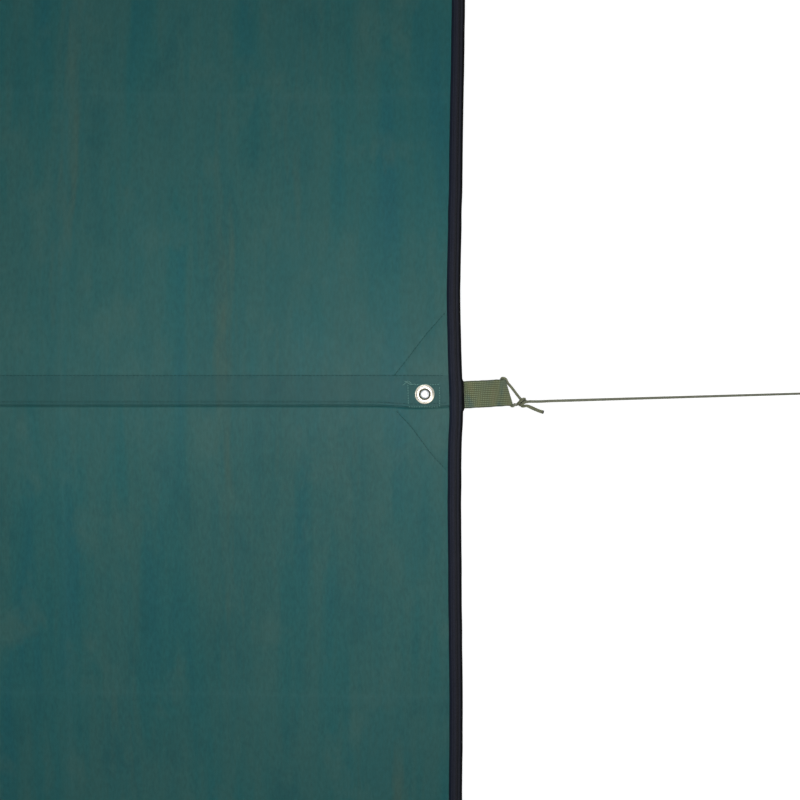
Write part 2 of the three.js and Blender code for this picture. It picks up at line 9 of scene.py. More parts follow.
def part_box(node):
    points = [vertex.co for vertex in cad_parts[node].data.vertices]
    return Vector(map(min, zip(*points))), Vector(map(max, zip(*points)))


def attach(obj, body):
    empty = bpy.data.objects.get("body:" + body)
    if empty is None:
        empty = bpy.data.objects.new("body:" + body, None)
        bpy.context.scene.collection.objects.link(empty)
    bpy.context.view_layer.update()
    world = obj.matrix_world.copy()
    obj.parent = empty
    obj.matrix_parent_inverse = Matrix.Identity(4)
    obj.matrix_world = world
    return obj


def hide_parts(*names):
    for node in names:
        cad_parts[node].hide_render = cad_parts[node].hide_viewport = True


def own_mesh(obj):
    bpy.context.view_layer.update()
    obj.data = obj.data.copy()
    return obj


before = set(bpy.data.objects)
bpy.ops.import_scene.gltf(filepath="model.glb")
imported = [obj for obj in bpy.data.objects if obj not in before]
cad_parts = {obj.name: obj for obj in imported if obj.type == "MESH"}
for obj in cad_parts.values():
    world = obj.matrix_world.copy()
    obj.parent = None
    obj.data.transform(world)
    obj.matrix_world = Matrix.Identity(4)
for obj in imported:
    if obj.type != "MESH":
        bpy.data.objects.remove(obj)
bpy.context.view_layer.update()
scene = bpy.context.scene

# ---- sizes, as in the CAD part ----
HALF_X, HALF_Y = 1.830, 1.370
RIDGE = 2.200
SEAM_FRONT, SEAM_BACK = -0.010, 0.018
FRONT_SLOPE = 0.300 / (HALF_Y + SEAM_FRONT)
BACK_SLOPE = 0.300 / (HALF_Y - SEAM_BACK)
CLOTH = 0.0012
GAP = 0.0003
GROMMET_INSET = 0.035
GROMMET_X, GROMMET_Y = HALF_X - GROMMET_INSET, HALF_Y - GROMMET_INSET
GROMMET_RIM = 0.0091
PATCH_DEPTH = 0.072
NET_INSET = 0.008
NET_LIFT = 0.006
GABLE_NET, EAVE_NET = HALF_X - NET_INSET, HALF_Y - NET_INSET
DOOR_HALF, DOOR_FOOT, DOOR_HEAD = 0.400, 0.060, 1.830
WEB_WIDTH, WEB_BEND, WEB_DROOP = 0.0254, 0.047, math.radians(50)
WEB_OVERHANG, WEB_EYE, WEB_EYE_RIM = 0.003, 0.0024, 0.0044
WEB_INBOARD = 0.017
LOOP_SKEW, LINE_SKEW = math.radians(3.3), math.radians(1.5)
CORD = 0.0013
PLAIT = 0.0062  # length of a turn of the cord's strands
KNOT_OFFSET = (0.017, -0.012, -0.024)
RIDGE_PITCH, CORNER_PITCH, PEG_PITCH = math.radians(56), math.radians(60), math.radians(60)
PEG_WIRE, PEG_HOOK, PEG_HOOK_TURN = 0.003, 0.008, math.radians(200)
PEG_LINE_HEIGHT, PEG_NECK = 0.150, 0.016
WRAP = 0.0052
RUNNER_FROM_PEG, RUNNER_TRAVEL = 0.420, 0.18
RUNNER_HALF, RUNNER_THICKNESS, RUNNER_HOLE = 0.006, 0.005, 0.0022
POLE_SEAT, SPIKE_OUT = 0.950, 0.018
ENDS = ((1, "right"), (-1, "left"))
STATIONS = {
    "ridge_right": (1, 0), "ridge_left": (-1, 0),
    "front_right": (1, -1), "front_left": (-1, -1),
    "back_right": (1, 1), "back_left": (-1, 1),
}


# ---- numbers ----
def step(t):
    """A smooth step from 0 at t = 0 to 1 at t = 1."""
    t = np.clip(t, 0, 1)
    return t * t * (3 - 2 * t)


def spline(x, knots):
    """A natural cubic through knots of (x, value), flat beyond both ends."""
    kx, ky = np.array([k[0] for k in knots], float), np.array([k[1] for k in knots], float)
    h = np.diff(kx)
    n = len(kx)
    a, b = np.eye(n), np.zeros(n)
    for i in range(1, n - 1):
        a[i, i - 1:i + 2] = h[i - 1], 2 * (h[i - 1] + h[i]), h[i]
        b[i] = 6 * ((ky[i + 1] - ky[i]) / h[i] - (ky[i] - ky[i - 1]) / h[i - 1])
    m = np.linalg.solve(a, b)
    x = np.clip(x, kx[0], kx[-1])
    i = np.clip(np.searchsorted(kx, x) - 1, 0, n - 2)
    left, right = kx[i + 1] - x, x - kx[i]
    return ((m[i] * left ** 3 + m[i + 1] * right ** 3) / (6 * h[i])
            + (ky[i] / h[i] - m[i] * h[i] / 6) * left
            + (ky[i + 1] / h[i] - m[i + 1] * h[i] / 6) * right)


def noise(x, y, seed=0):
    """Smooth value noise from -1 to 1, with a lattice of 1 by 1."""
    x, y = np.broadcast_arrays(np.asarray(x, float), np.asarray(y, float))
    ix, iy = np.floor(x).astype(np.int64), np.floor(y).astype(np.int64)
    u, v = x - ix, y - iy
    u, v = (t * t * t * (t * (t * 6 - 15) + 10) for t in (u, v))

    def corner(i, j):
        h = ((ix + i) * 374761393 + (iy + j) * 668265263 + seed * 974634777) & 0xFFFFFFFF
        h = ((h ^ (h >> 13)) * 1274126177) & 0xFFFFFFFF
        return ((h ^ (h >> 16)) & 0xFFFF) / 32767.5 - 1

    low = corner(0, 0) * (1 - u) + corner(1, 0) * u
    high = corner(0, 1) * (1 - u) + corner(1, 1) * u
    return low * (1 - v) + high * v


def unit(vectors):
    """The same directions, each of length 1."""
    return vectors / np.linalg.norm(vectors, axis=-1, keepdims=True)


# ---- meshes ----
class Build:
    """Collects the shells of one piece and then makes its mesh."""

    def __init__(self):
        self.verts, self.faces, self.slots, self.across, self.along = [], [], [], [], []
        self.count = 0

    def add(self, verts, faces, slot=0, across=0.0, along=0.0):
        verts = np.asarray(verts, float).reshape(-1, 3)
        self.verts.append(verts)
        for face in faces:
            self.faces.append([int(i) + self.count for i in face])
        self.slots += [slot] * len(faces)
        self.across.append(np.broadcast_to(np.asarray(across, float), len(verts)))
        self.along.append(np.broadcast_to(np.asarray(along, float), len(verts)))
        self.count += len(verts)
        return self

    def make(self, name, materials, body="house", nodes=(), slot=None):
        mesh = bpy.data.meshes.new(name)
        mesh.from_pydata(np.concatenate(self.verts).tolist(), [], self.faces)
        for material in materials:
            mesh.materials.append(material)
        mesh.polygons.foreach_set("material_index", self.slots)
        mesh.polygons.foreach_set("use_smooth", [True] * len(self.faces))
        for label, values in (("across", self.across), ("along", self.along)):
            attribute = mesh.attributes.new(label, "FLOAT", "POINT")
            attribute.data.foreach_set("value", np.concatenate(values).astype(np.float32))
        mesh.validate()
        mesh.update()
        obj = bpy.data.objects.new(name, mesh)
        scene.collection.objects.link(obj)
        if body:
            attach(obj, body)
        if nodes:
            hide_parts(*nodes)
        return obj


def crease(obj, angle):
    """Marks the edges sharper than angle, so that smooth shading keeps them crisp."""
    obj.data.set_sharp_from_angle(angle=math.radians(angle))


def grid(rows, cols, wrap=False):
    """Quads of a grid whose vertices run row by row. With wrap, each row closes on itself."""
    i, j = np.arange(rows - 1)[:, None], np.arange(cols if wrap else cols - 1)[None, :]
    k = (j + 1) % cols
    quads = np.stack([i * cols + j, i * cols + k, (i + 1) * cols + k, (i + 1) * cols + j], -1)
    return quads.reshape(-1, 4).tolist()


def frames(path):
    """Tangents and two side directions along a path, turned as little as possible."""
    path = np.asarray(path, float)
    tangents = unit(np.gradient(path, axis=0))
    sides = np.empty_like(path)
    sides[0] = unit(np.cross(tangents[0], (0, 0, 1) if abs(tangents[0][2]) < 0.9 else (0, 1, 0)))
    for n in range(1, len(path)):
        sides[n] = unit(sides[n - 1] - tangents[n] * (sides[n - 1] @ tangents[n]))
    return tangents, sides, np.cross(tangents, sides)


def lengths(path):
    """Distance along a path, at each of its points."""
    return np.concatenate([[0], np.cumsum(np.linalg.norm(np.diff(path, axis=0), axis=1))])


def resample(path, spacing):
    """The same path with even steps."""
    path = np.asarray(path, float)
    s = lengths(path)
    t = np.linspace(0, s[-1], max(2, int(round(s[-1] / spacing)) + 1))
    return np.stack([np.interp(t, s, path[:, k]) for k in range(3)], 1)


def curve(points, spacing):
    """A smooth path through points, in even steps."""
    points = np.asarray(points, float)
    s = lengths(points)
    t = np.linspace(0, s[-1], max(8, 12 * len(points)))
    smooth = np.stack([spline(t, list(zip(s, points[:, k]))) for k in range(3)], 1)
    return resample(smooth, spacing)


def tube(build, path, radius, sides=10, slot=0, braid=0.0, caps=True, start=0.0):
    """A round rod along path. braid is the height of a cord's plaited relief."""
    path = np.asarray(path, float)
    n = len(path)
    _, a, b = frames(path)
    s = lengths(path) + start
    theta = np.arange(sides) * 2 * math.pi / sides
    r = np.broadcast_to(np.asarray(radius, float), n)[:, None] * np.ones(sides)
    if braid:
        turn = s[:, None] * 2 * math.pi / PLAIT
        r = r + braid * (np.abs(np.sin(3 * theta + turn)) * np.abs(np.sin(3 * theta - turn)) * 2 - 1)
    ring = a[:, None] * np.cos(theta)[None, :, None] + b[:, None] * np.sin(theta)[None, :, None]
    verts = (path[:, None] + ring * r[..., None]).reshape(-1, 3)
    faces = grid(n, sides, wrap=True)
    if caps:
        faces += [list(range(sides))[::-1], list(range((n - 1) * sides, n * sides))]
    build.add(verts, faces, slot, np.tile(theta, n), np.repeat(s, sides))
    return build


def lathe(build, profile, sides, place=Matrix.Identity(4), slot=0, closed=False):
    """Turns (radius, height) points about the Z of place."""
    profile = list(profile) + ([profile[0]] if closed else [])
    r = np.array([p[0] for p in profile])[:, None]
    z = np.array([p[1] for p in profile])[:, None]
    theta = np.arange(sides)[None, :] * 2 * math.pi / sides
    verts = np.stack([r * np.cos(theta), r * np.sin(theta), z + 0 * theta], -1).reshape(-1, 3)
    m = np.array(place)
    verts = verts @ m[:3, :3].T + m[:3, 3]
    s = np.repeat(lengths(np.hstack([r, z, 0 * z])), sides)
    build.add(verts, grid(len(profile), sides, wrap=True), slot, np.tile(theta[0], len(profile)), s)
    return build


def stitches(build, path, normal, slot=0, length=0.0026, gap=0.0009, radius=0.00028):
    """A row of stitches along path: short threads whose ends dive into the cloth."""
    path = np.asarray(path, float)
    s = lengths(path)
    normal = np.asarray(normal, float)
    at = lambda t: np.stack([np.interp(t, s, path[:, k]) for k in range(3)], -1)
    count = int(s[-1] / (length + gap))
    heights = np.array([-0.9, 0.55, 0.75, 0.55, -0.9]) * radius
    shares = np.array([0.0, 0.16, 0.5, 0.84, 1.0])
    theta = np.arange(5) * 2 * math.pi / 5
    starts = (np.arange(count) + 0.5) * (length + gap) - length / 2
    for start in starts:
        core = at(start + shares * length)
        side = np.cross(normal, unit(core[-1] - core[0]))
        ring = side * np.cos(theta)[:, None] + normal * np.sin(theta)[:, None]
        verts = (core + heights[:, None] * normal)[:, None] + ring[None] * radius
        build.add(verts.reshape(-1, 3), grid(5, 5, wrap=True), slot)


# ---- materials ----
class Shader:
    """One node material. Its constants sit on the Principled shader's own sockets."""

    def __init__(self, name, **constants):
        self.material = bpy.data.materials.new(name)
        self.material.use_nodes = True
        self.tree = self.material.node_tree
        self.shader = self.tree.nodes["Principled BSDF"]
        for key, value in constants.items():
            self.shader.inputs[key.replace("_", " ")].default_value = value

    def node(self, kind, inputs=None, **settings):
        made = self.tree.nodes.new("ShaderNode" + kind)
        for key, value in settings.items():
            setattr(made, key, value)
        for key, value in (inputs or {}).items():
            if isinstance(value, bpy.types.NodeSocket):
                self.tree.links.new(value, made.inputs[key])
            else:
                made.inputs[key].default_value = value
        return made

    def place(self, scale=(1, 1, 1)):
        """Object coordinates in metres, times scale."""
        coordinates = self.node("TexCoord").outputs["Object"]
        return self.node("Mapping", {"Vector": coordinates, "Scale": scale}).outputs["Vector"]

    def noise(self, scale, detail=3.0, rough=0.5, vector=None):
        vector = vector or self.place()
        node = self.node("TexNoise", {"Vector": vector, "Scale": scale, "Detail": detail,
                                      "Roughness": rough})
        return node.outputs["Fac"]

    def attribute(self, name):
        return self.node("Attribute", attribute_name=name).outputs["Fac"]

    def axis(self, which):
        split = self.node("SeparateXYZ", {"Vector": self.node("TexCoord").outputs["Object"]})
        return split.outputs[which]

    def math(self, operation, a, b=0.0, c=0.0):
        return self.node("Math", {0: a, 1: b, 2: c}, operation=operation).outputs[0]

    def wave(self, value, period):
        """A cosine of value, from 0 to 1."""
        turned = self.math("MULTIPLY", value, 2 * math.pi / period)
        return self.math("MULTIPLY_ADD", self.math("COSINE", turned), 0.5, 0.5)

    def ramp(self, value, *stops):
        node = self.node("ValToRGB", {"Fac": value})
        elements = node.color_ramp.elements
        while len(elements) < len(stops):
            elements.new(0.5)
        for element, (position, color) in zip(elements, stops):
            element.position = position
            element.color = (*color, 1) if len(color) == 3 else color
        return node.outputs["Color"]

    def grade(self, value, *stops):
        """A ramp of plain numbers."""
        return self.ramp(value, *[(at, (v, v, v)) for at, v in stops])

    def mix(self, share, a, b, kind="MIX"):
        node = self.node("Mix", data_type="RGBA", blend_type=kind)
        for socket, value in ((node.inputs[0], share), (node.inputs[6], a), (node.inputs[7], b)):
            if isinstance(value, bpy.types.NodeSocket):
                self.tree.links.new(value, socket)
            elif socket == node.inputs[0]:
                socket.default_value = value
            else:
                socket.default_value = (*value, 1)
        return node.outputs[2]

    def times(self, a, b):
        return self.mix(1.0, a, b, "MULTIPLY")

    def bump(self, height, distance, strength=1.0, under=None):
        inputs = {"Height": height, "Distance": distance, "Strength": strength}
        if under:
            inputs["Normal"] = under
        return self.node("Bump", inputs).outputs["Normal"]

    def set(self, **links):
        for key, value in links.items():
            self.tree.links.new(value, self.shader.inputs[key.replace("_", " ")])
        return self.material


def weave_height(m, pitch, a, b):
    """Over and under threads at pitch, along a and b."""
    return m.math("MULTIPLY", m.wave(a, pitch), m.wave(b, pitch))


def roof_fabric():
    m = Shader("roof_fabric", Sheen_Weight=0.02, Sheen_Roughness=0.4, Specular_IOR_Level=0.13)
    # Painted sheen: streaks stretched along Y give the cloth bluish and brownish tones that paint the sheen
    # of its soft drape folds; the same streaks also vary its roughness.
    streaks_and_sheen = m.noise(1.0, 4.0, 0.6, m.place((24, 2.2, 2.2)))
    fine = m.noise(1.0, 3.0, 0.6, m.place((420, 160, 200)))
    tone = m.ramp(streaks_and_sheen, (0.30, (0.0060, 0.0575, 0.0640)), (0.42, (0.0092, 0.0615, 0.0620)),
                  (0.52, (0.0150, 0.0620, 0.0590)), (0.60, (0.0110, 0.0610, 0.0610)),
                  (0.74, (0.0275, 0.0610, 0.0500)))
    smudge = m.noise(1.0, 4.0, 0.62, m.place((24, 12, 12)))
    tone = m.mix(m.grade(smudge, (0.54, 0.0), (0.70, 0.70)), tone, (0.0225, 0.0680, 0.0620))
    tone = m.mix(m.grade(smudge, (0.28, 0.55), (0.44, 0.0)), tone, (0.0050, 0.0490, 0.0530))
    cloudy = m.grade(m.noise(1.6, 3.0), (0.3, 0.86), (0.7, 1.08))
    color = m.times(tone, cloudy)
    color = m.times(color, m.grade(fine, (0.3, 0.90), (0.7, 1.10)))
    # Fold lines of the imported roof, both ways: each is a faint paler line, a painted highlight along the
    # crease's ridge, and each also gets a slight bump.
    warp = m.math("MULTIPLY", m.noise(1.3, 2.0), 0.03)
    lines = []
    for axis, period, start in (("Y", 0.572, 0.302), ("X", 0.610, 0.860)):
        moved = m.math("ADD", m.math("SUBTRACT", m.axis(axis), start), warp)
        far = m.math("PINGPONG", moved, period / 2)
        lines.append(m.grade(far, (0.0, 1.0), (0.004, 0.35), (0.012, 0.0)))
    folds = m.math("MAXIMUM", lines[0], lines[1])
    # Painted highlight: the fold lines are mixed towards a paler teal.
    color = m.mix(m.math("MULTIPLY", folds, 0.05), color, (0.05, 0.12, 0.12))
    # Painted shade: the cloth is painted a little darker over the doubled ridge seam and on a strip just past
    # the back width's folded edge, as the shade of the seam and of the fold.
    seam_shade = m.math("MULTIPLY", m.math("GREATER_THAN", m.axis("Y"), SEAM_FRONT - 0.0022),
                  m.math("LESS_THAN", m.axis("Y"), SEAM_BACK - 0.0003))
    color = m.mix(m.math("MULTIPLY", seam_shade, 0.24), color, (0.004, 0.03, 0.032))
    weave = m.bump(weave_height(m, 0.00085, m.axis("X"), m.axis("Y")), 0.00012, 0.5)
    soft = m.bump(m.noise(1.0, 5.0, 0.65, m.place((46, 9, 9))), 0.0012, 0.5, weave)
    lumps = m.grade(m.noise(17.0, 5.0, 0.55), (0.40, 0.0), (0.52, 0.8), (0.60, 1.0))
    soft = m.bump(lumps, 0.0010, 0.25, soft)
    folded = m.bump(folds, 0.0004, 0.4, soft)
    rough = m.grade(streaks_and_sheen, (0.3, 0.42), (0.7, 0.54))
    return m.set(Base_Color=color, Normal=folded, Roughness=rough)


def edge_tape():
    """Bound webbing, with its tones in lengthwise stripes across the width."""
    m = Shader("edge_tape", Sheen_Weight=0.01, Specular_IOR_Level=0.06)
    across = m.attribute("across")
    stripes = m.ramp(across, (0.00, (0.0026, 0.0056, 0.0110)), (0.17, (0.0034, 0.0062, 0.0130)),
                     (0.21, (0.0112, 0.0126, 0.0205)), (0.26, (0.0112, 0.0126, 0.0205)),
                     (0.30, (0.0052, 0.0072, 0.0122)), (0.34, (0.0104, 0.0120, 0.0190)),
                     (0.44, (0.0120, 0.0132, 0.0205)), (0.50, (0.0112, 0.0120, 0.0160)),
                     (0.60, (0.0120, 0.0126, 0.0165)), (0.64, (0.0050, 0.0056, 0.0074)),
                     (0.70, (0.0122, 0.0132, 0.0185)), (0.80, (0.0110, 0.0120, 0.0172)),
                     (0.84, (0.0014, 0.0016, 0.0021)), (1.00, (0.0009, 0.0010, 0.0013)))
    grain = m.grade(m.noise(900, 2.0), (0.3, 0.82), (0.7, 1.18))
    color = m.times(stripes, grain)
    ribs = m.bump(m.wave(across, 0.052), 0.00018, 0.7)
    cross = m.bump(m.wave(m.attribute("along"), 0.0009), 0.00008, 0.6, ribs)
    rough = m.grade(m.noise(60), (0.3, 0.62), (0.7, 0.82))
    return m.set(Base_Color=color, Normal=cross, Roughness=rough)


def webbing():
    """Ribbed olive webbing: two tones in patches, with a pale dot at each crossing, and painted shade between
    its ribs and along its edges.
    """
    m = Shader("webbing", Sheen_Weight=0.04, Specular_IOR_Level=0.2)
    across, along = m.attribute("across"), m.attribute("along")
    place = m.node("CombineXYZ", {"X": m.math("MULTIPLY", across, 0.009), "Y": along})
    patch = m.noise(95, 2.0, 0.5, place.outputs[0])
    base = m.ramp(patch, (0.36, (0.0290, 0.0560, 0.0430)), (0.47, (0.0590, 0.0750, 0.0380)),
                  (0.60, (0.0730, 0.0830, 0.0350)), (0.70, (0.0850, 0.0840, 0.0390)))
    dots = m.math("MULTIPLY", m.wave(across, 1 / 14), m.wave(along, 0.00175))
    color = m.mix(m.math("MULTIPLY", dots, 0.50), base, (0.2300, 0.2700, 0.1900))
    # Painted shade: dark lines between the ribs, standing in for the shade in their grooves.
    rib_gap_shade = m.grade(m.wave(across, 1 / 14), (0.0, 0.50), (0.30, 1.0))
    color = m.times(color, rib_gap_shade)
    # Painted shade: both long edges of the webbing are painted darker, as the shade of its rounded edges.
    edge = m.grade(m.math("ABSOLUTE", m.math("SUBTRACT", across, 0.5)), (0.455, 1.0), (0.5, 0.52))
    color = m.times(color, edge)
    fuzz = m.bump(m.noise(2600, 2.0), 0.0001, 0.6)
    return m.set(Base_Color=color, Normal=fuzz, Roughness=m.grade(patch, (0.3, 0.74), (0.7, 0.86)))


def cord_fibre(name, dark, light):
    """Plaited cord: two sets of helical strands."""
    m = Shader(name, Sheen_Weight=0.12, Specular_IOR_Level=0.25)
    around, along = m.attribute("across"), m.attribute("along")
    turn = m.math("MULTIPLY", along, 2 * math.pi / PLAIT)
    strands = []
    for hand in (1, -1):
        angle = m.math("MULTIPLY_ADD", around, 3.0, m.math("MULTIPLY", turn, float(hand)))
        strands.append(m.math("ABSOLUTE", m.math("SINE", angle)))
    plait = m.math("MULTIPLY", strands[0], strands[1])
    color = m.ramp(plait, (0.0, dark), (0.55, light))
    color = m.times(color, m.grade(m.noise(260, 2.0), (0.3, 0.8), (0.7, 1.15)))
    relief = m.bump(plait, 0.00022, 0.8)
    return m.set(Base_Color=color, Normal=relief, Roughness=m.grade(plait, (0.0, 0.9), (0.6, 0.7)))


def metal(name, dull, bright, rough, brushed):
    """Plated or galvanised metal with drawing marks and dull patches."""
    m = Shader(name, Metallic=1.0)
    patch = m.noise(1.0, 4.0, 0.6, m.place(brushed))
    color = m.ramp(patch, (0.32, dull), (0.66, bright))
    scratches = m.bump(m.noise(1.0, 3.0, 0.7, m.place(tuple(9 * v for v in brushed))), 0.00004, 0.5)
    rough = m.grade(m.noise(130, 3.0), (0.3, rough[0]), (0.7, rough[1]))
    return m.set(Base_Color=color, Normal=scratches, Roughness=rough)


def plastic(name, dark, light):
    """Moulded plastic with a fine grain."""
    m = Shader(name, Specular_IOR_Level=0.5)
    grain = m.noise(420, 3.0)
    color = m.ramp(grain, (0.3, dark), (0.7, light))
    return m.set(Base_Color=color, Normal=m.bump(grain, 0.00008, 0.5),
                 Roughness=m.grade(m.noise(70, 2.0), (0.3, 0.36), (0.7, 0.55)))


def netting():
    """Knitted mosquito netting: threads both ways with clear holes between them."""
    m = Shader("netting", Roughness=0.8, Specular_IOR_Level=0.2)
    pitch = 0.0024
    level = m.math("ADD", m.axis("X"), m.axis("Y"))
    threads = m.math("MAXIMUM", m.wave(level, pitch), m.wave(m.axis("Z"), pitch))
    cover = m.grade(threads, (0.55, 0.30), (0.85, 0.68))
    tone = m.noise(3.0, 3.0)
    color = m.ramp(tone, (0.3, (0.012, 0.024, 0.024)), (0.7, (0.026, 0.043, 0.042)))
    return m.set(Base_Color=color, Alpha=cover, Normal=m.bump(threads, 0.0002, 0.4))


def trim_cloth(name, dark, light):
    """The plain polyester of the skirt, the door's frame and the zip tape."""
    m = Shader(name, Sheen_Weight=0.08, Specular_IOR_Level=0.35)
    cloud = m.noise(9.0, 4.0, 0.6)
    color = m.ramp(cloud, (0.32, dark), (0.70, light))
    level = m.math("ADD", m.axis("X"), m.axis("Y"))
    weave = m.bump(weave_height(m, 0.0011, level, m.axis("Z")), 0.0001, 0.5)
    soft = m.bump(m.noise(14.0, 4.0, 0.6), 0.0016, 0.45, weave)
    return m.set(Base_Color=color, Normal=soft, Roughness=m.grade(cloud, (0.3, 0.6), (0.7, 0.74)))


def thread(name, dark, light):
    """Twisted sewing thread."""
    m = Shader(name, Sheen_Weight=0.02, Specular_IOR_Level=0.12)
    twist = m.wave(m.math("ADD", m.math("ADD", m.axis("X"), m.axis("Y")), m.axis("Z")), 0.0005)
    return m.set(Base_Color=m.ramp(twist, (0.1, dark), (0.8, light)),
                 Normal=m.bump(twist, 0.00005, 0.6), Roughness=m.grade(twist, (0.0, 0.8), (1.0, 0.6)))


def floor_paint():
    """The plain pale floor, faintly lit of itself."""
    m = Shader("floor", Specular_IOR_Level=0.0, Emission_Strength=0.79)
    tone = m.noise(0.5, 2.0)
    color = m.ramp(tone, (0.3, (0.86, 0.86, 0.86)), (0.7, (0.88, 0.88, 0.88)))
    return m.set(Base_Color=color, Emission_Color=color,
                 Roughness=m.grade(tone, (0.3, 0.9), (0.7, 0.95)))


FABRIC = roof_fabric()
TAPE = edge_tape()
WEBBING = webbing()
GUY = cord_fibre("guy_cord", (0.040, 0.044, 0.024), (0.150, 0.158, 0.095))
TIE = cord_fibre("tie_cord", (0.008, 0.010, 0.012), (0.030, 0.034, 0.040))
NICKEL = metal("grommet_metal", (0.70, 0.64, 0.52), (0.90, 0.86, 0.74), (0.24, 0.34), (60, 60, 60))
PIN = metal("pin_steel", (0.70, 0.71, 0.74), (0.92, 0.92, 0.93), (0.38, 0.5), (60, 60, 60))
STEEL = metal("pole_steel", (0.34, 0.35, 0.36), (0.55, 0.56, 0.57), (0.28, 0.44), (70, 70, 4))
PEG = metal("peg_steel", (0.42, 0.43, 0.43), (0.66, 0.67, 0.67), (0.26, 0.4), (60, 60, 20))
ZIP_METAL = metal("zip_metal", (0.24, 0.24, 0.25), (0.42, 0.42, 0.43), (0.26, 0.4), (200, 200, 200))
BLACK = plastic("black_plastic", (0.010, 0.011, 0.012), (0.017, 0.018, 0.020))
NET = netting()
SKIRT = trim_cloth("skirt_cloth", (0.0095, 0.0400, 0.0400), (0.0170, 0.0540, 0.0520))
ZIP_TAPE = trim_cloth("zip_tape", (0.0080, 0.0095, 0.0120), (0.0150, 0.0170, 0.0210))
PALE_THREAD = thread("pale_thread", (0.045, 0.120, 0.110), (0.130, 0.260, 0.235))
GREEN_THREAD = thread("green_thread", (0.0040, 0.0290, 0.0300), (0.0065, 0.0420, 0.0420))
BLACK_THREAD = thread("black_thread", (0.0040, 0.0050, 0.0070), (0.0120, 0.0130, 0.0170))

# ---- camera, lights and floor ----
LENS, SENSOR, VIEW_WIDTH = 110, 36, 0.745
camera = bpy.data.objects.new("camera", bpy.data.cameras.new("camera"))
camera.data.lens, camera.data.sensor_width = LENS, SENSOR
camera.data.clip_start, camera.data.clip_end = 0.05, 400
camera.location = (1.772, -0.0054, RIDGE + VIEW_WIDTH * LENS / SENSOR)
scene.collection.objects.link(camera)
scene.camera = camera
scene.view_settings.view_transform = "Standard"


def build_world():
    world = bpy.data.worlds.new("studio")
    scene.world = world
    world.use_nodes = True
    tree = world.node_tree
    background = tree.nodes["Background"]
    split = tree.nodes.new("ShaderNodeSeparateXYZ")
    ramp = tree.nodes.new("ShaderNodeValToRGB")
    tree.links.new(tree.nodes.new("ShaderNodeTexCoord").outputs["Generated"], split.inputs[0])
    tree.links.new(split.outputs["Z"], ramp.inputs[0])
    tree.links.new(ramp.outputs["Color"], background.inputs["Color"])
    low, high = ramp.color_ramp.elements
    low.position, low.color = 0.12, (1.0, 1.0, 1.0, 1)
    high.position, high.color = 0.85, (0.20, 0.205, 0.21, 1)


def add_light(name, kind, energy, place, target, **settings):
    data = bpy.data.lights.new(name, kind)
    data.energy = energy
    for key, value in settings.items():
        setattr(data, key, value)
    light = bpy.data.objects.new(name, data)
    light.location = place
    light.rotation_euler = (Vector(target) - Vector(place)).to_track_quat("-Z", "Y").to_euler()
    light.visible_camera = False
    scene.collection.objects.link(light)


build_world()
for x, power in ((1.78, 4.0), (0.62, 2.5), (-0.62, 2.5), (-1.78, 4.0)):
    for y in (-0.20, 0.20):
        add_light("key", "AREA", power, (x, y, 3.00), (x, y, 2.2), shape="DISK", size=0.5)
add_light("sun", "SUN", 0.4, (6, -5, 9), (0, 0, 0), angle=0.5)
floor = Build().add([(x, y, 0) for y in (-200, 200) for x in (-200, 200)], [[0, 1, 3, 2]])
floor.make("floor", [floor_paint()], body=None)


# ---- the roof's cloth ----
def plane_height(y):
    """The CAD part's roof: flat along the ridge seam, with a slope on each side."""
    return RIDGE - FRONT_SLOPE * np.maximum(SEAM_FRONT - y, 0) - BACK_SLOPE * np.maximum(y - SEAM_BACK, 0)


def rounded_height(y):
    """The same roof with the ridge rounded as cloth is."""
    soft = lambda t: (t + np.sqrt(t * t + 0.055 ** 2)) / 2
    drop = lambda y: FRONT_SLOPE * soft(SEAM_FRONT - y) + BACK_SLOPE * soft(y - SEAM_BACK)
    return RIDGE - drop(y) + drop(0.0) * (1 - step(np.abs(y) / 1.25))


def slack(x):
    """How free the cloth is of its ends: 0 at the poles, near 1 in mid-length."""
    t = np.clip(1 - (np.abs(x) / 1.70) ** 2, 0, 1)
    return t * t / (t + 0.08)


EDGE_KNOTS = [(-1.37, 0), (-1.335, 0), (-0.9, -0.0060), (-0.55, -0.0020), (-0.372, 0.0012),
              (-0.186, -0.0004), (-0.084, -0.0014), (-0.045, -0.0010), (-0.007, 0), (0.019, -0.0008),
              (0.055, -0.0019), (0.093, -0.0022), (0.186, -0.0002), (0.279, 0.0018), (0.372, 0.0036),
              (0.6, 0.0020), (0.95, -0.0050), (1.335, 0), (1.37, 0)]


def edge_shift(x, y):
    """How far the cloth near a gable edge is drawn outward, in X."""
    right = step((x - 1.45) / 0.37) * spline(y, EDGE_KNOTS)
    left = step((-x - 1.45) / 0.37) * spline(-y, EDGE_KNOTS)
    return right - left


def cloth_place(x, y):
    """Where a point of the flat cloth is in plan: the eaves are drawn in between the poles."""
    share = np.clip(np.abs(y) / HALF_Y, 0, 1)
    return x + edge_shift(x, y), y * (1 - 0.016 * slack(x) * share ** 3)


def seam_line(x):
    """The folded edge of the back width, drawn a little out of line by the ridge grommets."""
    return SEAM_FRONT + 0.0002 - 0.0021 * np.exp(-((np.abs(x) - 1.790) / 0.026) ** 2)


PATCH_ROWS = [np.array([(1.8165, 0.0762), (1.7990, 0.0569), (1.7794, 0.0320), (1.7646, 0.0141)]),
              np.array([(1.8170, -0.0710), (1.8046, -0.0584), (1.7841, -0.0318), (1.7672, -0.0140)])]
BOX_X, BOX_Y = (1.7797, 1.8090), (-0.0118, 0.0092)


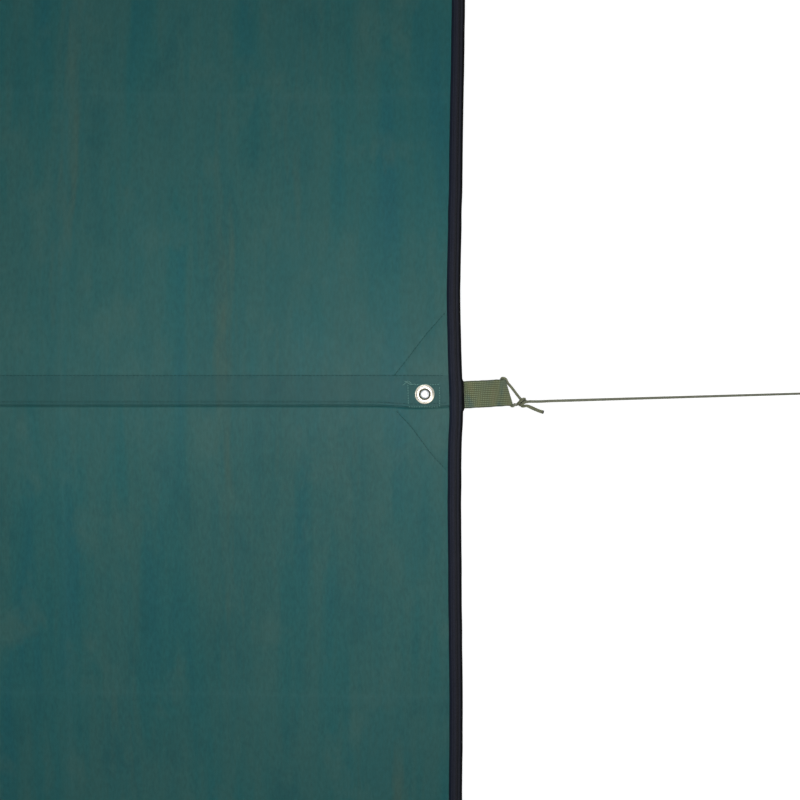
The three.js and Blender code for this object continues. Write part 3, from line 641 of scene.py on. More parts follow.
def line_distance(x, y, points):
    """Plan distance to a polyline."""
    best = np.full(np.broadcast(x, y).shape, 1e9)
    for (x0, y0), (x1, y1) in zip(points[:-1], points[1:]):
        dx, dy = x1 - x0, y1 - y0
        t = np.clip(((x - x0) * dx + (y - y0) * dy) / (dx * dx + dy * dy), 0, 1)
        best = np.minimum(best, np.hypot(x - x0 - t * dx, y - y0 - t * dy))
    return best


def ridge_end(x, y):
    """Mirrors both ridge ends to one: plan coordinates as at the right end."""
    return np.abs(x), np.where(x < 0, -y, y)


def wrinkles(x, y):
    """Height of the folds and puckers above the smooth roof."""
    x, y = np.broadcast_arrays(np.asarray(x, float), np.asarray(y, float))
    free = slack(x)
    share = np.clip(np.abs(y) / HALF_Y, 0, 1)
    h = -free * (0.026 * (1 - share) + 0.040 * share ** 2 + 0.020 * 4 * share * (1 - share))
    away = step(np.abs(y) / 0.10) * step((HALF_Y - np.abs(y)) / 0.2)
    h = h + 0.0028 * noise(x / 0.42 + 5, y / 0.36, 3) * away * step((HALF_X - np.abs(x)) / 0.5)

    # Streaks that fan out across each slope from the ridge seam.
    ex, ey = ridge_end(x, y)
    fan = (ex - 1.79) / (1 + 1.1 * np.abs(ey))
    near = step((np.abs(ey) - 0.004) / 0.09)
    h = h + near * 0.00085 * noise(fan / 0.034, ey / 0.34, 11)
    h = h + near * 0.00030 * noise(fan / 0.015, ey / 0.16, 12)
    h = h + near * 0.0011 * noise((fan + 0.35 * ey) / 0.09, (ey - 0.2 * fan) / 0.21, 14)
    h = h + 0.00016 * noise(ex / 0.011, ey / 0.05, 13) * np.exp(-((np.abs(ey - 0.004) - 0.014) / 0.02) ** 2)

    # Tension folds that run out of each corner and ridge end.
    for sx in (-1, 1):
        for sy in (-1, 0, 1):
            dx, dy = sx * GROMMET_X - x, y - sy * GROMMET_Y
            r, angle = np.hypot(dx, dy) + 1e-9, np.arctan2(dy, np.abs(dx) + 1e-9)
            size = 0.0036 if sy else 0.0011
            grown = size * np.exp(-r / 0.42) * (r / 0.16) ** 1.5 / (1 + (r / 0.16) ** 1.5)
            h = h + grown * np.sin(15 * angle + 2.4 * noise(r / 0.25, angle * 1.5, 20 + sx + 3 * sy))

    # Puckers at the ridge seam's stitching, the patch and the grommet's box of stitches.
    back_row = np.exp(-((y - SEAM_BACK + 0.0004) / 0.0010) ** 2)
    front_row = np.exp(-((y - seam_line(x) - 0.0026) / 0.0010) ** 2)
    h = h - 0.00012 * back_row - 0.00014 * front_row
    h = h - 0.00030 * np.exp(-((y - seam_line(x)) / 0.0011) ** 2) * (y < seam_line(x))
    far = np.full(x.shape, 1e9)
    for row in PATCH_ROWS:
        far = np.minimum(far, line_distance(ex, ey, row))
    h = h - 0.00034 * np.exp(-(far / 0.0013) ** 2)
    box = [(BOX_X[i], BOX_Y[j]) for i, j in ((0, 0), (1, 0), (1, 1), (0, 1), (0, 0))]
    h = h - 0.00030 * np.exp(-(line_distance(ex, ey, box) / 0.0011) ** 2)
    reach = np.hypot(ex - GROMMET_X, ey)
    return h + 0.00035 * np.exp(-((reach - 0.0135) / 0.0035) ** 2)


def cloth_height(x, y):
    return rounded_height(y) + wrinkles(x, y)


def spaced(*runs):
    """Grid lines: runs of (from, to, pitch) that follow on from each other."""
    lines = [np.array([runs[0][0]])]
    for low, high, pitch in runs:
        lines.append(np.linspace(low, high, max(2, int(round((high - low) / pitch)) + 1))[1:])
    return np.concatenate(lines)


def grommet_holes(verts, faces):
    """The faces that lie clear of the grommets' barrels."""
    middles = np.asarray(verts)[np.asarray(faces)].mean(1)[:, :2]
    keep = np.ones(len(faces), bool)
    for sx in (-1, 1):
        for sy in (-1, 0, 1):
            centre = (sx * GROMMET_X, sy * GROMMET_Y)
            keep &= np.linalg.norm(middles - centre, axis=1) > 0.0069
    return [face for face, kept in zip(faces, keep) if kept]


ROOF_XS = spaced((-HALF_X, -1.77, 0.002), (-1.77, 1.37, 0.024),
                 (1.37, 1.72, 0.0021), (1.72, HALF_X, 0.0011))


def on_cloth(x, y, lift=0.0):
    """Points on the roof's top face, from flat-cloth coordinates."""
    x, y = np.broadcast_arrays(np.asarray(x, float), np.asarray(y, float))
    px, py = cloth_place(x, y)
    return np.stack([px, py, cloth_height(x, y) + lift], -1)


def roof_width(rows, label):
    """One width of the roof's cloth, from its rows of points."""
    verts = np.concatenate(rows)
    build = Build().add(verts, grommet_holes(verts, grid(len(rows), len(ROOF_XS))))
    cloth = build.make("roof_" + label, [FABRIC], nodes=["roof_panel_" + label], slot="roof_fabric")


def build_roof():
    """The two widths of cloth, the back one folded over the front one at the seam."""
    xs, edge = ROOF_XS, seam_line(ROOF_XS)

    # The back width's rows start under the fold, so that the edge shows its thickness.
    fold = [(0.0075, -0.0013), (0.0020, -0.0013), (0.0005, -0.00125), (0.0, -0.0009), (-0.0001, -0.0005),
            (0.0002, -0.0001), (0.0007, 0.0)]
    rows = [np.stack([xs, edge + dy, cloth_height(xs, edge + CLOTH) + dz], 1) for dy, dz in fold]
    for y in spaced((CLOTH, 0.0024, 0.0004), (0.0024, 0.032, 0.0007), (0.032, 0.44, 0.0021),
                    (0.44, 1.31, 0.024), (1.31, HALF_Y, 0.002)):
        share = (y - CLOTH) / (HALF_Y - CLOTH)
        rows.append(on_cloth(xs, edge + CLOTH + share * (HALF_Y - edge - CLOTH)))
    roof_width(rows, "back")

    # The front width goes down and under the back width at the seam.
    rows = []
    for y in spaced((-HALF_Y, -1.31, 0.002), (-1.31, -0.44, 0.024), (-0.44, -0.024, 0.0021),
                    (-0.024, 0.0, 0.0006)):
        row_y = y * (HALF_Y + edge) / HALF_Y + edge
        rows.append(on_cloth(xs, row_y, -0.0013 * step((row_y - edge + 0.0030) / 0.0028)))
    for y in (0.002, 0.006, 0.012, 0.020, 0.0275):
        rows.append(np.stack([xs, edge + y, cloth_height(xs, edge + CLOTH + y) - 0.0022], 1))
    roof_width(rows, "front")


def build_roof_stitching():
    """The ridge seam's two rows, the patches' outlines and the boxes round the ridge grommets."""
    (x0, x1), (y0, y1) = BOX_X, BOX_Y
    corners = [(x1, y1), (x0, y1), (x0, y0), (x1, y0), (x1, y1)]
    for side, label in ENDS:
        build = Build()
        run = np.linspace(0.0, 1.816, 900) * side
        for ys in (seam_line(run) + 0.0026, np.full_like(run, SEAM_BACK - 0.0004)):
            stitches(build, on_cloth(run, ys), (0, 0, 1))
        for row in PATCH_ROWS:
            fine = resample(np.column_stack([row, np.zeros(len(row))]), 0.001)
            lean = (0, math.copysign(0.2, row[0][1] * side), 0.98)
            stitches(build, on_cloth(side * fine[:, 0], side * fine[:, 1]), lean, 0, 0.0027, 0.0008, 0.0003)
        for (ax, ay), (bx, by) in zip(corners[:-1], corners[1:]):
            t = np.linspace(0, 1, 40)
            path = on_cloth(side * (ax + (bx - ax) * t), side * (ay + (by - ay) * t), 0.0001)
            stitches(build, path, (0, 0, 1), 1, 0.0015, 0.00085, 0.00030)
        # Loose thread ends at the corner of the box.
        rng = np.random.default_rng(5 + side)
        reach = np.array([[-0.0012, 0.0005, 0.0], [-0.0030, 0.0012, 0.0002], [-0.0050, 0.0010, 0.0]])
        for k in range(6):
            start = on_cloth(side * (x0 + 0.0005 + 0.001 * k), side * (y1 + 0.0003), 0.0003)
            bend = rng.normal(0, 0.0013, (3, 3)) * (1, 1, 0.12)
            points = np.vstack([start, start + reach * (side, side, 1) + bend])
            tube(build, curve(points, 0.0006), 0.00016, 5, 1)
        build.make("roof_stitching_" + label, [GREEN_THREAD, PALE_THREAD], slot="roof_fabric")


# ---- edge tape ----
# Across the folded tape, from its inner edge over the top, round and back below: how far it is
# from the inner edge and its height above the cloth, in millimetres, and its place in the stripes.
TAPE_PROFILE = [
    (0.0, 0.05, 0.0), (0.15, 0.42, 0.02), (0.5, 0.60, 0.05), (1.3, 0.62, 0.10), (1.7, 0.66, 0.14),
    (2.4, 0.84, 0.20), (3.4, 0.90, 0.28), (4.3, 1.02, 0.36), (5.2, 1.12, 0.42), (6.2, 1.10, 0.48),
    (7.0, 0.92, 0.545), (7.5, 0.62, 0.585), (8.0, 0.84, 0.62), (8.8, 1.02, 0.68), (9.6, 0.96, 0.74),
    (10.3, 0.74, 0.80), (10.9, 0.72, 0.84), (11.7, 0.70, 0.90), (12.4, 0.40, 0.95), (12.8, -0.25, 0.97),
    (12.85, -0.9, 0.98), (12.5, -1.6, 0.99), (11.8, -1.95, 0.95), (9.0, -2.05, 0.7),
    (7.5, -1.85, 0.585), (5.0, -2.1, 0.4), (1.0, -1.95, 0.1), (0.0, -1.5, 0.0)]
TAPE_INNER = 0.0120


def tape_piece(name, cloth, outward, up, node, swell):
    """Folds the tape's profile round an edge of the roof; cloth gives its points at an inset."""
    build = Build()
    edge = cloth(np.zeros((len(outward), 1)))[:, 0]
    s = lengths(edge)
    count = len(TAPE_PROFILE)
    reach, height, share = np.array(TAPE_PROFILE).T
    reach, height = reach / 1000, height / 1000
    wobble = 1 + 0.18 * noise(s[:, None] / 0.03, np.arange(count)[None, :] * 0.7, 31)
    out = reach[None, :] - TAPE_INNER + swell[:, None] * step((reach - 0.008) / 0.004)[None, :]
    out = out + 0.00016 * noise(s / 0.02, s * 0, 32)[:, None]
    low = np.where(height < 0, height, height * wobble)
    beyond = outward[:, None] * np.maximum(out, 0)[..., None]
    verts = cloth(np.maximum(-out, 0)) + beyond + up[:, None] * low[..., None]
    build.add(verts.reshape(-1, 3), grid(len(edge), count, wrap=True), 0,
              np.tile(share, len(edge)), np.repeat(s, count))
    build.faces += [list(range(count))[::-1], list(range((len(edge) - 1) * count, len(edge) * count))]
    build.slots += [0, 0]
    row = cloth(np.full((len(edge), 1), TAPE_INNER - 0.0075))[:, 0] + up * 0.00066
    stitches(build, row, up[len(up) // 2], 1, 0.0026, 0.0011, 0.00026)
    build.make(name, [TAPE, BLACK_THREAD], nodes=[node], slot="edge_tape")


def build_tapes():
    """One tape on each edge; a gable's swells where the webbing passes under it."""
    for side, label in ENDS:
        ys = side * spaced((-HALF_Y - 0.001, -0.45, 0.006), (-0.45, 0.45, 0.0022),
                           (0.45, HALF_Y + 0.001, 0.006))
        cloth = lambda inset: on_cloth(side * (HALF_X - inset), ys[:, None])
        edge = cloth(np.zeros((len(ys), 1)))[:, 0]
        outward = np.tile((float(side), 0.0, 0.0), (len(ys), 1))
        fall = np.gradient(edge[:, 2], edge[:, 1])
        up = unit(np.stack([0 * ys, -fall, np.ones_like(ys)], 1))
        webbed = side * ys + 0.0007
        swell = 0.0012 * (step((webbed + 0.0162) / 0.0030) - step((webbed - 0.0120) / 0.0030))
        tape_piece("tape_" + label, cloth, outward, up, "edge_tape_" + label, swell)
    for side, label in ((-1, "front"), (1, "back")):
        end = HALF_X - 0.0118
        xs = np.concatenate([[-end], ROOF_XS[np.abs(ROOF_XS) < end - 0.0002], [end]])
        cloth = lambda inset: on_cloth(xs[:, None], side * (HALF_Y - inset))
        outward = np.tile((0.0, float(side), 0.0), (len(xs), 1))
        slope = BACK_SLOPE if side > 0 else FRONT_SLOPE
        up = np.tile((0.0, side * slope, 1.0), (len(xs), 1)) / math.hypot(1, slope)
        outward = outward - up * (outward * up).sum(1)[:, None]
        tape_piece("tape_" + label, cloth, outward, up, "edge_tape_" + label, 0 * xs)


# ---- the six stations: pole, grommet, loop, line, runner and peg ----
class Station:
    """Where the parts of one pole's corner are. The axes are those of the CAD part."""

    def __init__(self, name):
        self.name = name
        sx, sy = STATIONS[name]
        self.ridge = sy == 0
        slope = BACK_SLOPE if sy > 0 else FRONT_SLOPE
        tilt = 0 if self.ridge else math.atan(slope)
        self.normal = np.array([0, sy * math.sin(tilt), math.cos(tilt)])
        turn = math.atan2(sy, sx)
        seat = turn + (LOOP_SKEW if self.ridge else 0)
        flat = np.array([math.cos(seat), math.sin(seat), 0])
        self.outward = unit(flat - self.normal * (flat @ self.normal))
        self.across = np.cross(self.normal, self.outward)
        x, y = sx * GROMMET_X, sy * GROMMET_Y
        self.place = np.array([x, y, float(plane_height(y)) if sy else RIDGE])
        self.reach = GROMMET_INSET * (1 if self.ridge else math.sqrt(2))
        self.stack = (0.0027 if self.ridge else CLOTH) + 0.0038
        self.depth = self.stack - CLOTH
        middle = self.at(0, 0, -self.stack / 2)
        self.foot = np.array([middle[0], middle[1], 0])
        line_turn = turn + (LINE_SKEW if self.ridge else 0)
        c, s = math.cos(line_turn), math.sin(line_turn)
        level = np.array([[c, -s, 0], [s, c, 0], [0, 0, 1]])
        pitch = RIDGE_PITCH if self.ridge else CORNER_PITCH
        self.along = level @ (math.cos(pitch), 0, -math.sin(pitch))
        self.side = level @ (0, 1, 0)
        self.level = level
        end = self.eye_plan()
        self.eye = self.at(end[0], 0, end[1])
        self.knot = self.eye + level @ KNOT_OFFSET
        length = (self.knot[2] - PEG_LINE_HEIGHT) / math.sin(pitch)
        self.wrap = self.knot + self.along * length - self.side * WRAP
        self.shoulder = self.place[2] - ((self.stack + 0.0013) * math.cos(tilt)
                                         + GROMMET_RIM * math.sin(tilt) + GAP)

    def at(self, out, across, up):
        return self.place + self.outward * out + self.across * across + self.normal * up

    def on_loop(self, out, across, up):
        """As at(), with the little by which a ridge loop is sewn off its grommet's line."""
        return self.at(out, across - (0.0028 if self.ridge else 0), up)

    def eye_plan(self):
        """The loop's eye, as distance out and height, in the loop's upright plane."""
        beyond = WEB_EYE + (WEB_EYE_RIM - WEB_EYE) / 2
        c, s = math.cos(WEB_DROOP), math.sin(WEB_DROOP)
        return np.array([self.reach + WEB_OVERHANG + WEB_BEND * s + c * beyond,
                         -self.depth - WEB_BEND + WEB_BEND * c - s * beyond])


def build_grommet(st):
    """Two rolled washers clenched over the barrel."""
    low = -st.stack * 1000 - 0.3
    profile = [(5.0, low + 0.2), (5.0, 0.2), (5.15, 0.75), (5.6, 1.25), (6.2, 1.42), (6.9, 1.32), (7.5, 1.02),
               (8.0, 0.86), (8.5, 0.74), (8.9, 0.55), (9.15, 0.22), (9.1, -0.05), (8.6, -0.1), (6.0, -0.1),
               (6.0, low - 0.1), (8.8, low - 0.1), (9.1, low - 0.5), (8.7, low - 0.9), (7.4, low - 1.1),
               (6.0, low - 1.2), (5.2, low - 0.7)]
    profile = [(r / 1000, z / 1000) for r, z in profile]
    build = lathe(Build(), profile, 72, basis(st.outward, st.across, st.normal, st.place), closed=True)
    build.make("grommet_ring_" + st.name, [NICKEL], nodes=["grommet_" + st.name], slot="grommet_metal")


def flat_normals(path):
    """The normals of a path in a plane."""
    tangent = unit(np.gradient(path, axis=0))
    return np.stack([-tangent[:, 1], tangent[:, 0]], 1)


def loop_path(st):
    """The webbing's middle line in its upright plane, as (out, up): over the top layer, round
    the cord and back along the lower layer."""
    eye = st.eye_plan()
    start = st.reach + WEB_OVERHANG
    bend = np.linspace(0, WEB_DROOP, 26)
    mid = [(out, -st.depth) for out in np.linspace(-WEB_INBOARD, start, 60)[:-1]]
    mid += [(start + WEB_BEND * math.sin(a), -st.depth - WEB_BEND + WEB_BEND * math.cos(a)) for a in bend]
    mid = np.array(mid)
    normal = flat_normals(mid)
    s = lengths(mid)
    open_up = step((s - s[-1] + 0.0085) / 0.0085)
    apart, round_cord = 0.00062, WEB_EYE + 0.00075
    offset = apart + (round_cord - apart) * open_up * 0.86
    top, under = mid + normal * offset[:, None], mid - normal * offset[:, None]
    a = np.linspace(math.radians(74), -math.radians(74), 15) - WEB_DROOP
    ring = eye + round_cord * np.stack([np.cos(a), np.sin(a)], 1)
    return np.vstack([top, ring, under[::-1]])


def build_loop(st, spacing, columns):
    """Folded nylon webbing, woven in ribs. The cord draws the fold a little out of square."""
    rng = np.random.default_rng(sum(map(ord, st.name)))
    skew = 0.24 if st.ridge else rng.uniform(-0.12, 0.12)
    half = 0.00054
    widths = np.linspace(-1, 1, columns)
    strips, runs = [], []
    for w in widths:
        y = w * WEB_WIDTH / 2
        path = loop_path(st)
        path[:, 0] += -skew * y * step((path[:, 0] - st.reach - 0.002) / 0.030)
        s = lengths(path)
        t = np.linspace(0, s[-1], int(0.185 / spacing))
        path = np.stack([np.interp(t, s, path[:, k]) for k in range(2)], 1)
        strips.append((path, flat_normals(path)))
        runs.append(t)
    path = np.stack([p for p, _ in strips], 1)
    normal = np.stack([n for _, n in strips], 1)
    t = np.stack(runs, 1)
    ribs = 14
    phase = (widths[None, :] + 1) / 2 * ribs
    rib = np.abs(np.sin(math.pi * phase)) ** 0.8
    cross = 0.5 + 0.5 * np.cos(2 * math.pi * t / 0.00175 + math.pi * np.floor(phase))
    smooth = 0.55 + 0.45 * step((np.abs(t - t.max() / 2) - 0.012) / 0.006)
    relief = (0.00026 * rib * (0.55 + 0.45 * cross)) * smooth
    flat_edge = np.clip((1 - np.abs(widths)) / 0.05, 0, 1)[None, :] ** 0.5
    outer = path + normal * ((half + relief) * flat_edge)[..., None]
    inner = path - normal * (half * flat_edge * np.ones_like(relief))[..., None]
    frayed = 0.00015 * noise(t / 0.004, widths[None, :] * 0, 41) * (np.abs(widths) > 0.9)
    y = (widths * WEB_WIDTH / 2)[None, :] + frayed
    rows, cols = t.shape
    place = lambda p: st.on_loop(p[..., :1], y[..., None], p[..., 1:]).reshape(-1, 3)
    build = Build()
    share = np.broadcast_to((widths[None, :] + 1) / 2, t.shape).ravel()
    verts = np.vstack([place(outer), place(inner)])
    top = grid(rows, cols)
    size = rows * cols
    faces = top + [[i + size for i in f[::-1]] for f in top]
    index = np.arange(size).reshape(rows, cols)
    for rim in (index[:, 0], index[::-1, -1], index[0, ::-1], index[-1]):
        faces += [[a, b, b + size, a + size] for a, b in zip(rim[:-1], rim[1:])]
    build.add(verts, faces, 0, np.tile(share, 2), np.tile(t.ravel(), 2))
    build.make("loop_" + st.name, [WEBBING], nodes=["guy_loop_" + st.name], slot="webbing")
    return skew


def build_line(st, skew, fine):
    """The guy line: through the fold of the loop, knotted, down to the peg and back up."""
    build = Build()
    spacing = 0.0005 if fine else 0.0016
    sides = 18 if fine else 8
    braid = 0.00009 if fine else 0.0
    edge = WEB_WIDTH / 2
    eye_out, eye_up = st.eye_plan()
    lean = lambda w: -skew * w
    hole = lambda w, out=0.0, up=0.0: st.on_loop(eye_out + lean(w) + out, w, eye_up + up)
    knot = st.knot

    # Standing part: out of the fold's far corner, straight to the knot and on down the line.
    turn_in = hole(edge + 0.0009, 0.0026, 0.0009)
    toward = unit(knot - turn_in)
    start = [hole(-edge * 0.2), hole(edge * 0.5), hole(edge * 0.9),
             hole(edge + 0.0009, 0.0006, 0.0006), turn_in]
    start += [turn_in + toward * d + st.across * h for d, h in ((0.006, 0.0006), (0.014, 0.0004))]
    onward = [knot + st.along * d for d in (0.003, 0.010, 0.02, 0.05)]
    leg = curve(start + [knot - toward * 0.0045 + st.along * 0.0008] + onward, spacing)
    tube(build, leg, CORD, sides, braid=braid)
    main_start = knot + st.along * 0.05
    bottom = st.wrap + st.side * WRAP
    if fine:
        cut = main_start + st.along * 0.62
        tube(build, resample([main_start, cut], 0.0008), CORD, 14, braid=braid, caps=False, start=0.1)
        main_start = cut
    tube(build, resample([main_start, bottom], 0.02), CORD, 10, caps=False, start=0.3)
    turns = [st.wrap + st.side * WRAP * math.cos(a) + st.along * WRAP * math.sin(a)
             for a in np.linspace(0, math.pi, 18)]
    tube(build, np.array(turns), CORD, 10, caps=False, start=0.5)

    # The other leg: out of the fold's near corner, round the standing part and out as the tail.
    local = lambda x, y, z: knot + st.level @ (x / 1000, y / 1000, z / 1000)
    leave = hole(-edge + 0.0004, 0.0016, 0.0004)
    bend = [hole(edge * 0.2), hole(-edge * 0.5), leave, leave + (local(-4.3, -1.7, 0.9) - leave) * 0.5]
    wraps = [local(*point) for point in (
        (-4.3, -1.7, 0.9), (-2.2, 0.6, 2.6), (0.6, 2.6, 2.2), (2.3, 2.6, -0.6), (0.6, 1.2, -2.9),
        (-2.0, -1.2, -2.4), (-2.6, -2.9, 0.5), (-0.6, -2.4, 2.9), (2.3, -0.2, 2.6), (3.3, 0.7, -0.4),
        (1.6, -0.8, -2.8), (-0.6, -3.4, -1.9), (0.4, -4.3, 0.6), (3.2, -3.9, 1.4))]
    tail = [local(7.6, -5.3, 0.4), local(12.5, -7.6, -1.2), local(16.5, -9.3, -2.6),
            local(19.6, -10.3, -3.4)]
    second = curve(bend + wraps + tail, spacing)
    s = lengths(second)
    thick = CORD + 0.00030 * step((s - s[-1] + 0.019) / 0.006)
    tube(build, second, thick, sides, braid=braid * 1.6, start=0.7)
    crown = resample([second[-2], second[-1] + (second[-1] - second[-2]) * 0.8], 0.0002)
    tube(build, crown, CORD + 0.00042, sides, slot=1)
    build.make("line_" + st.name, [GUY, BLACK], nodes=["guy_line_" + st.name], slot="guy_cord")


def build_return(st):
    """The end that comes back up from the peg."""
    low = st.wrap - st.side * WRAP
    high = low - st.along * (RUNNER_FROM_PEG + 0.0005)
    back = tube(Build(), resample([low, high], 0.01), CORD, 10, start=0.2)
    strand = back.make("line_return_" + st.name, [GUY], slot="guy_cord")
    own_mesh(strand)


def build_stopper(st):
    """The knot in the line's end, which stands on the runner and moves with it."""
    stop = Build()
    beyond = RUNNER_FROM_PEG + RUNNER_THICKNESS / 2 + 0.0036
    centre = st.wrap - st.side * WRAP - st.along * beyond
    a = np.linspace(0, 2 * math.pi, 40)
    p = np.stack([np.sin(a) + 2 * np.sin(2 * a), np.cos(a) - 2 * np.cos(2 * a), -np.sin(3 * a)], 1)
    turned = np.stack([st.side, np.cross(st.along, st.side), st.along], 1)
    tube(stop, centre + (p * (0.00078, 0.00078, 0.0013)) @ turned.T, CORD * 0.92, 8, caps=False)
    tag = curve([centre, centre - st.along * 0.006, centre - st.along * 0.013 - st.side * 0.004,
                 centre - st.along * 0.019 - st.side * 0.011], 0.002)
    tube(stop, tag, CORD, 8)
    stop.make("runner_knot_" + st.name, [GUY], body="runner_" + st.name, slot="guy_cord")


def plate(rings, thickness, bevel, place):
    """A mesh of a flat plate with rounded edges. The first ring is its outline, the others its
    holes, in the X and Y of place. The plate's middle is at place's origin."""
    data = bpy.data.curves.new("outline", "CURVE")
    data.dimensions, data.fill_mode = "2D", "BOTH"
    data.extrude, data.bevel_depth, data.bevel_resolution = thickness / 2 - bevel, bevel, 3
    data.offset = -bevel
    for ring in rings:
        line = data.splines.new("POLY")
        line.points.add(len(ring) - 1)
        for point, (x, y) in zip(line.points, ring):
            point.co = (x, y, 0, 1)
        line.use_cyclic_u = True
    shape = bpy.data.objects.new("outline", data)
    scene.collection.objects.link(shape)
    bpy.context.view_layer.update()
    graph = bpy.context.evaluated_depsgraph_get()
    mesh = bpy.data.meshes.new_from_object(shape.evaluated_get(graph))
    bpy.data.objects.remove(shape)
    m = np.array(place)
    verts = np.array([v.co for v in mesh.vertices]) @ m[:3, :3].T + m[:3, 3]
    faces = [list(f.vertices) for f in mesh.polygons]
    bpy.data.meshes.remove(mesh)
    return verts, faces


def basis(x, y, z, origin):
    """The matrix with these axes and origin."""
    m = Matrix.Identity(4)
    for k in range(3):
        m[k][0], m[k][1], m[k][2], m[k][3] = x[k], y[k], z[k], origin[k]
    return m


def circle(x, y, radius, sides, start=0.0, end=2 * math.pi):
    """Points of a circle, or of an arc with both its ends."""
    angles = np.linspace(start, end, sides, endpoint=abs(end - start) < 2 * math.pi - 1e-6)
    return [(x + radius * math.cos(a), y + radius * math.sin(a)) for a in angles]


def build_runner(st):
    """A moulded plate with two holes and rounded edges."""
    quarter = math.pi / 2
    outer = circle(0.007, 0, RUNNER_HALF, 22, -quarter, quarter)
    outer += circle(-0.007, 0, RUNNER_HALF, 22, quarter, 3 * quarter)
    rings = [outer, circle(-WRAP, 0, RUNNER_HOLE, 24), circle(WRAP, 0, RUNNER_HOLE, 24)]
    centre = st.wrap - st.along * RUNNER_FROM_PEG
    place = basis(st.side, np.cross(st.along, st.side), st.along, centre)
    build = Build().add(*plate(rings, RUNNER_THICKNESS, 0.0009, place))
    obj = build.make("runner_plate_" + st.name, [BLACK], "runner_" + st.name,
                     ["line_runner_" + st.name], "runner_plastic")
    crease(obj, 35)


def build_peg(st):
    """Bent steel wire with a hook and a ground point."""
    out = st.level @ (1, 0, 0)
    shank = out * math.cos(PEG_PITCH) + np.array([0, 0, math.sin(PEG_PITCH)])
    away = out * math.sin(PEG_PITCH) - np.array([0, 0, math.cos(PEG_PITCH)])
    tip = st.wrap - shank * st.wrap[2] / math.sin(PEG_PITCH)
    neck = st.wrap + shank * PEG_NECK
    path = [tip + shank * s for s in (0.0004, 0.004, 0.009, 0.0155, 0.018)]
    path += [tip + shank * s for s in np.linspace(0.03, np.linalg.norm(neck - tip), 8)]
    for a in np.linspace(0, PEG_HOOK_TURN, 30)[1:]:
        path.append(neck + away * PEG_HOOK * (1 - math.cos(a)) + shank * PEG_HOOK * math.sin(a))
    radius = np.full(len(path), PEG_WIRE)
    radius[:3] = (0.0004, 0.0012, 0.0021)
    path.append(path[-1] + (path[-1] - path[-2]) * 0.25)
    radius = np.append(radius, 0.0022)
    build = tube(Build(), np.array(path), radius, 20)
    crease(build.make("peg_wire_" + st.name, [PEG], nodes=["peg_" + st.name], slot="peg_steel"), 50)


def build_pole(st):
    """A lower tube with a foot cap and a crimped socket, and an upper tube with its pin."""
    seat = POLE_SEAT * 1000
    top = st.shoulder * 1000
    tip = (st.place[2] + SPIKE_OUT) * 1000

    def turned(build, profile, slot=0):
        lathe(build, [(r / 1000, z / 1000) for r, z in profile], 40, Matrix.Translation(st.foot), slot)

    socket = ((11.0, -12), (10.7, -9), (10.2, -6), (10.2, -2), (10.7, 1), (11.0, 4), (11.0, 84),
              (11.25, 86.5), (11.25, 89.2), (10.9, 90), (9.85, 90), (9.8, 89), (9.8, 20))
    lower = Build()
    turned(lower, [(11.0, 16)] + [(r, seat + z) for r, z in socket])
    turned(lower, [(0, 0.2), (13.5, 0.2), (14.6, 1.0), (15.0, 2.4), (15.0, 5.0), (14.6, 6.2), (12.9, 9),
                   (12.4, 14), (12.3, 27.2), (11.9, 28), (11.0, 28)], 1)
    for k in range(4):
        z = 9.0 + 5 * k
        turned(lower, [(12.3, z), (12.95, z + 0.8), (12.95, z + 1.8), (12.3, z + 2.6)], 1)
    crease(lower.make("pole_tube_lower_" + st.name, [STEEL, BLACK], nodes=["pole_lower_" + st.name],
                      slot="pole_steel"), 35)
    shoulder = ((9.5, -1.6), (9.3, -0.6), (8.7, -0.05), (4.6, 0))
    spike = ((4.15, -3.0), (3.9, -1.6), (3.4, -0.7), (2.5, -0.2), (1.4, 0), (0, 0))
    upper = Build()
    turned(upper, [(9.5, seat + 2)] + [(r, top + z) for r, z in shoulder])
    turned(upper, [(4.6, top), (4.15, top + 0.4)] + [(r, tip + z) for r, z in spike], 1)
    crease(upper.make("pole_tube_upper_" + st.name, [STEEL, PIN], nodes=["pole_upper_" + st.name],
                      slot="pole_steel"), 35)


def build_stations():
    """Everything at the six stations, with a finer mesh on the one seen up close."""
    for name in STATIONS:
        st = Station(name)
        fine = name == "ridge_right"
        build_grommet(st)
        skew = build_loop(st, 0.00034 if fine else 0.0007, 113 if fine else 57)
        build_line(st, skew, fine)
        build_return(st)
        build_stopper(st)
        build_runner(st)
        build_peg(st)
        build_pole(st)


def build_patch(side, label):
    """The reinforcement triangle under a ridge end."""
    rows, cols = 44, 61
    t = np.linspace(0, 1, rows)[:, None]
    w = np.linspace(-1, 1, cols)[None, :]
    x = HALF_X - PATCH_DEPTH + (PATCH_DEPTH - TAPE_INNER - GAP) * t
    y = w * (0.008 + 0.066 * t)
    verts = on_cloth(side * x, side * y, -0.0036).reshape(-1, 3)
    build = Build().add(verts, grommet_holes(verts, grid(rows, cols)))
    build.make("patch_" + label, [FABRIC], nodes=["ridge_patch_" + label], slot="roof_fabric")


# ---- netting walls ----
HEM, POST = 0.034, 0.032  # depth of the hem under the roof and width of the one at each corner
DOOR_FRAME = 0.045
LINTEL = DOOR_HEAD + 0.004
SKIRT_TOP = 0.14


def wall_folds(u, height, half, top):
    """How far the netting stands off its plane: free in the middle, held at its edges."""
    held = step((half - np.abs(u)) / 0.16) * step((top - height) / 0.35)
    low = 0.0045 + 0.0075 * (1 - np.clip(height / top, 0, 1))
    folds = noise(u / 0.15 + 3, height / 1.5, 51) + 0.5 * noise(u / 0.06, height / 0.8, 52)
    hang = 0.006 * noise(u / 0.5, height / 0.6, 53)
    return held * (low * folds + hang)


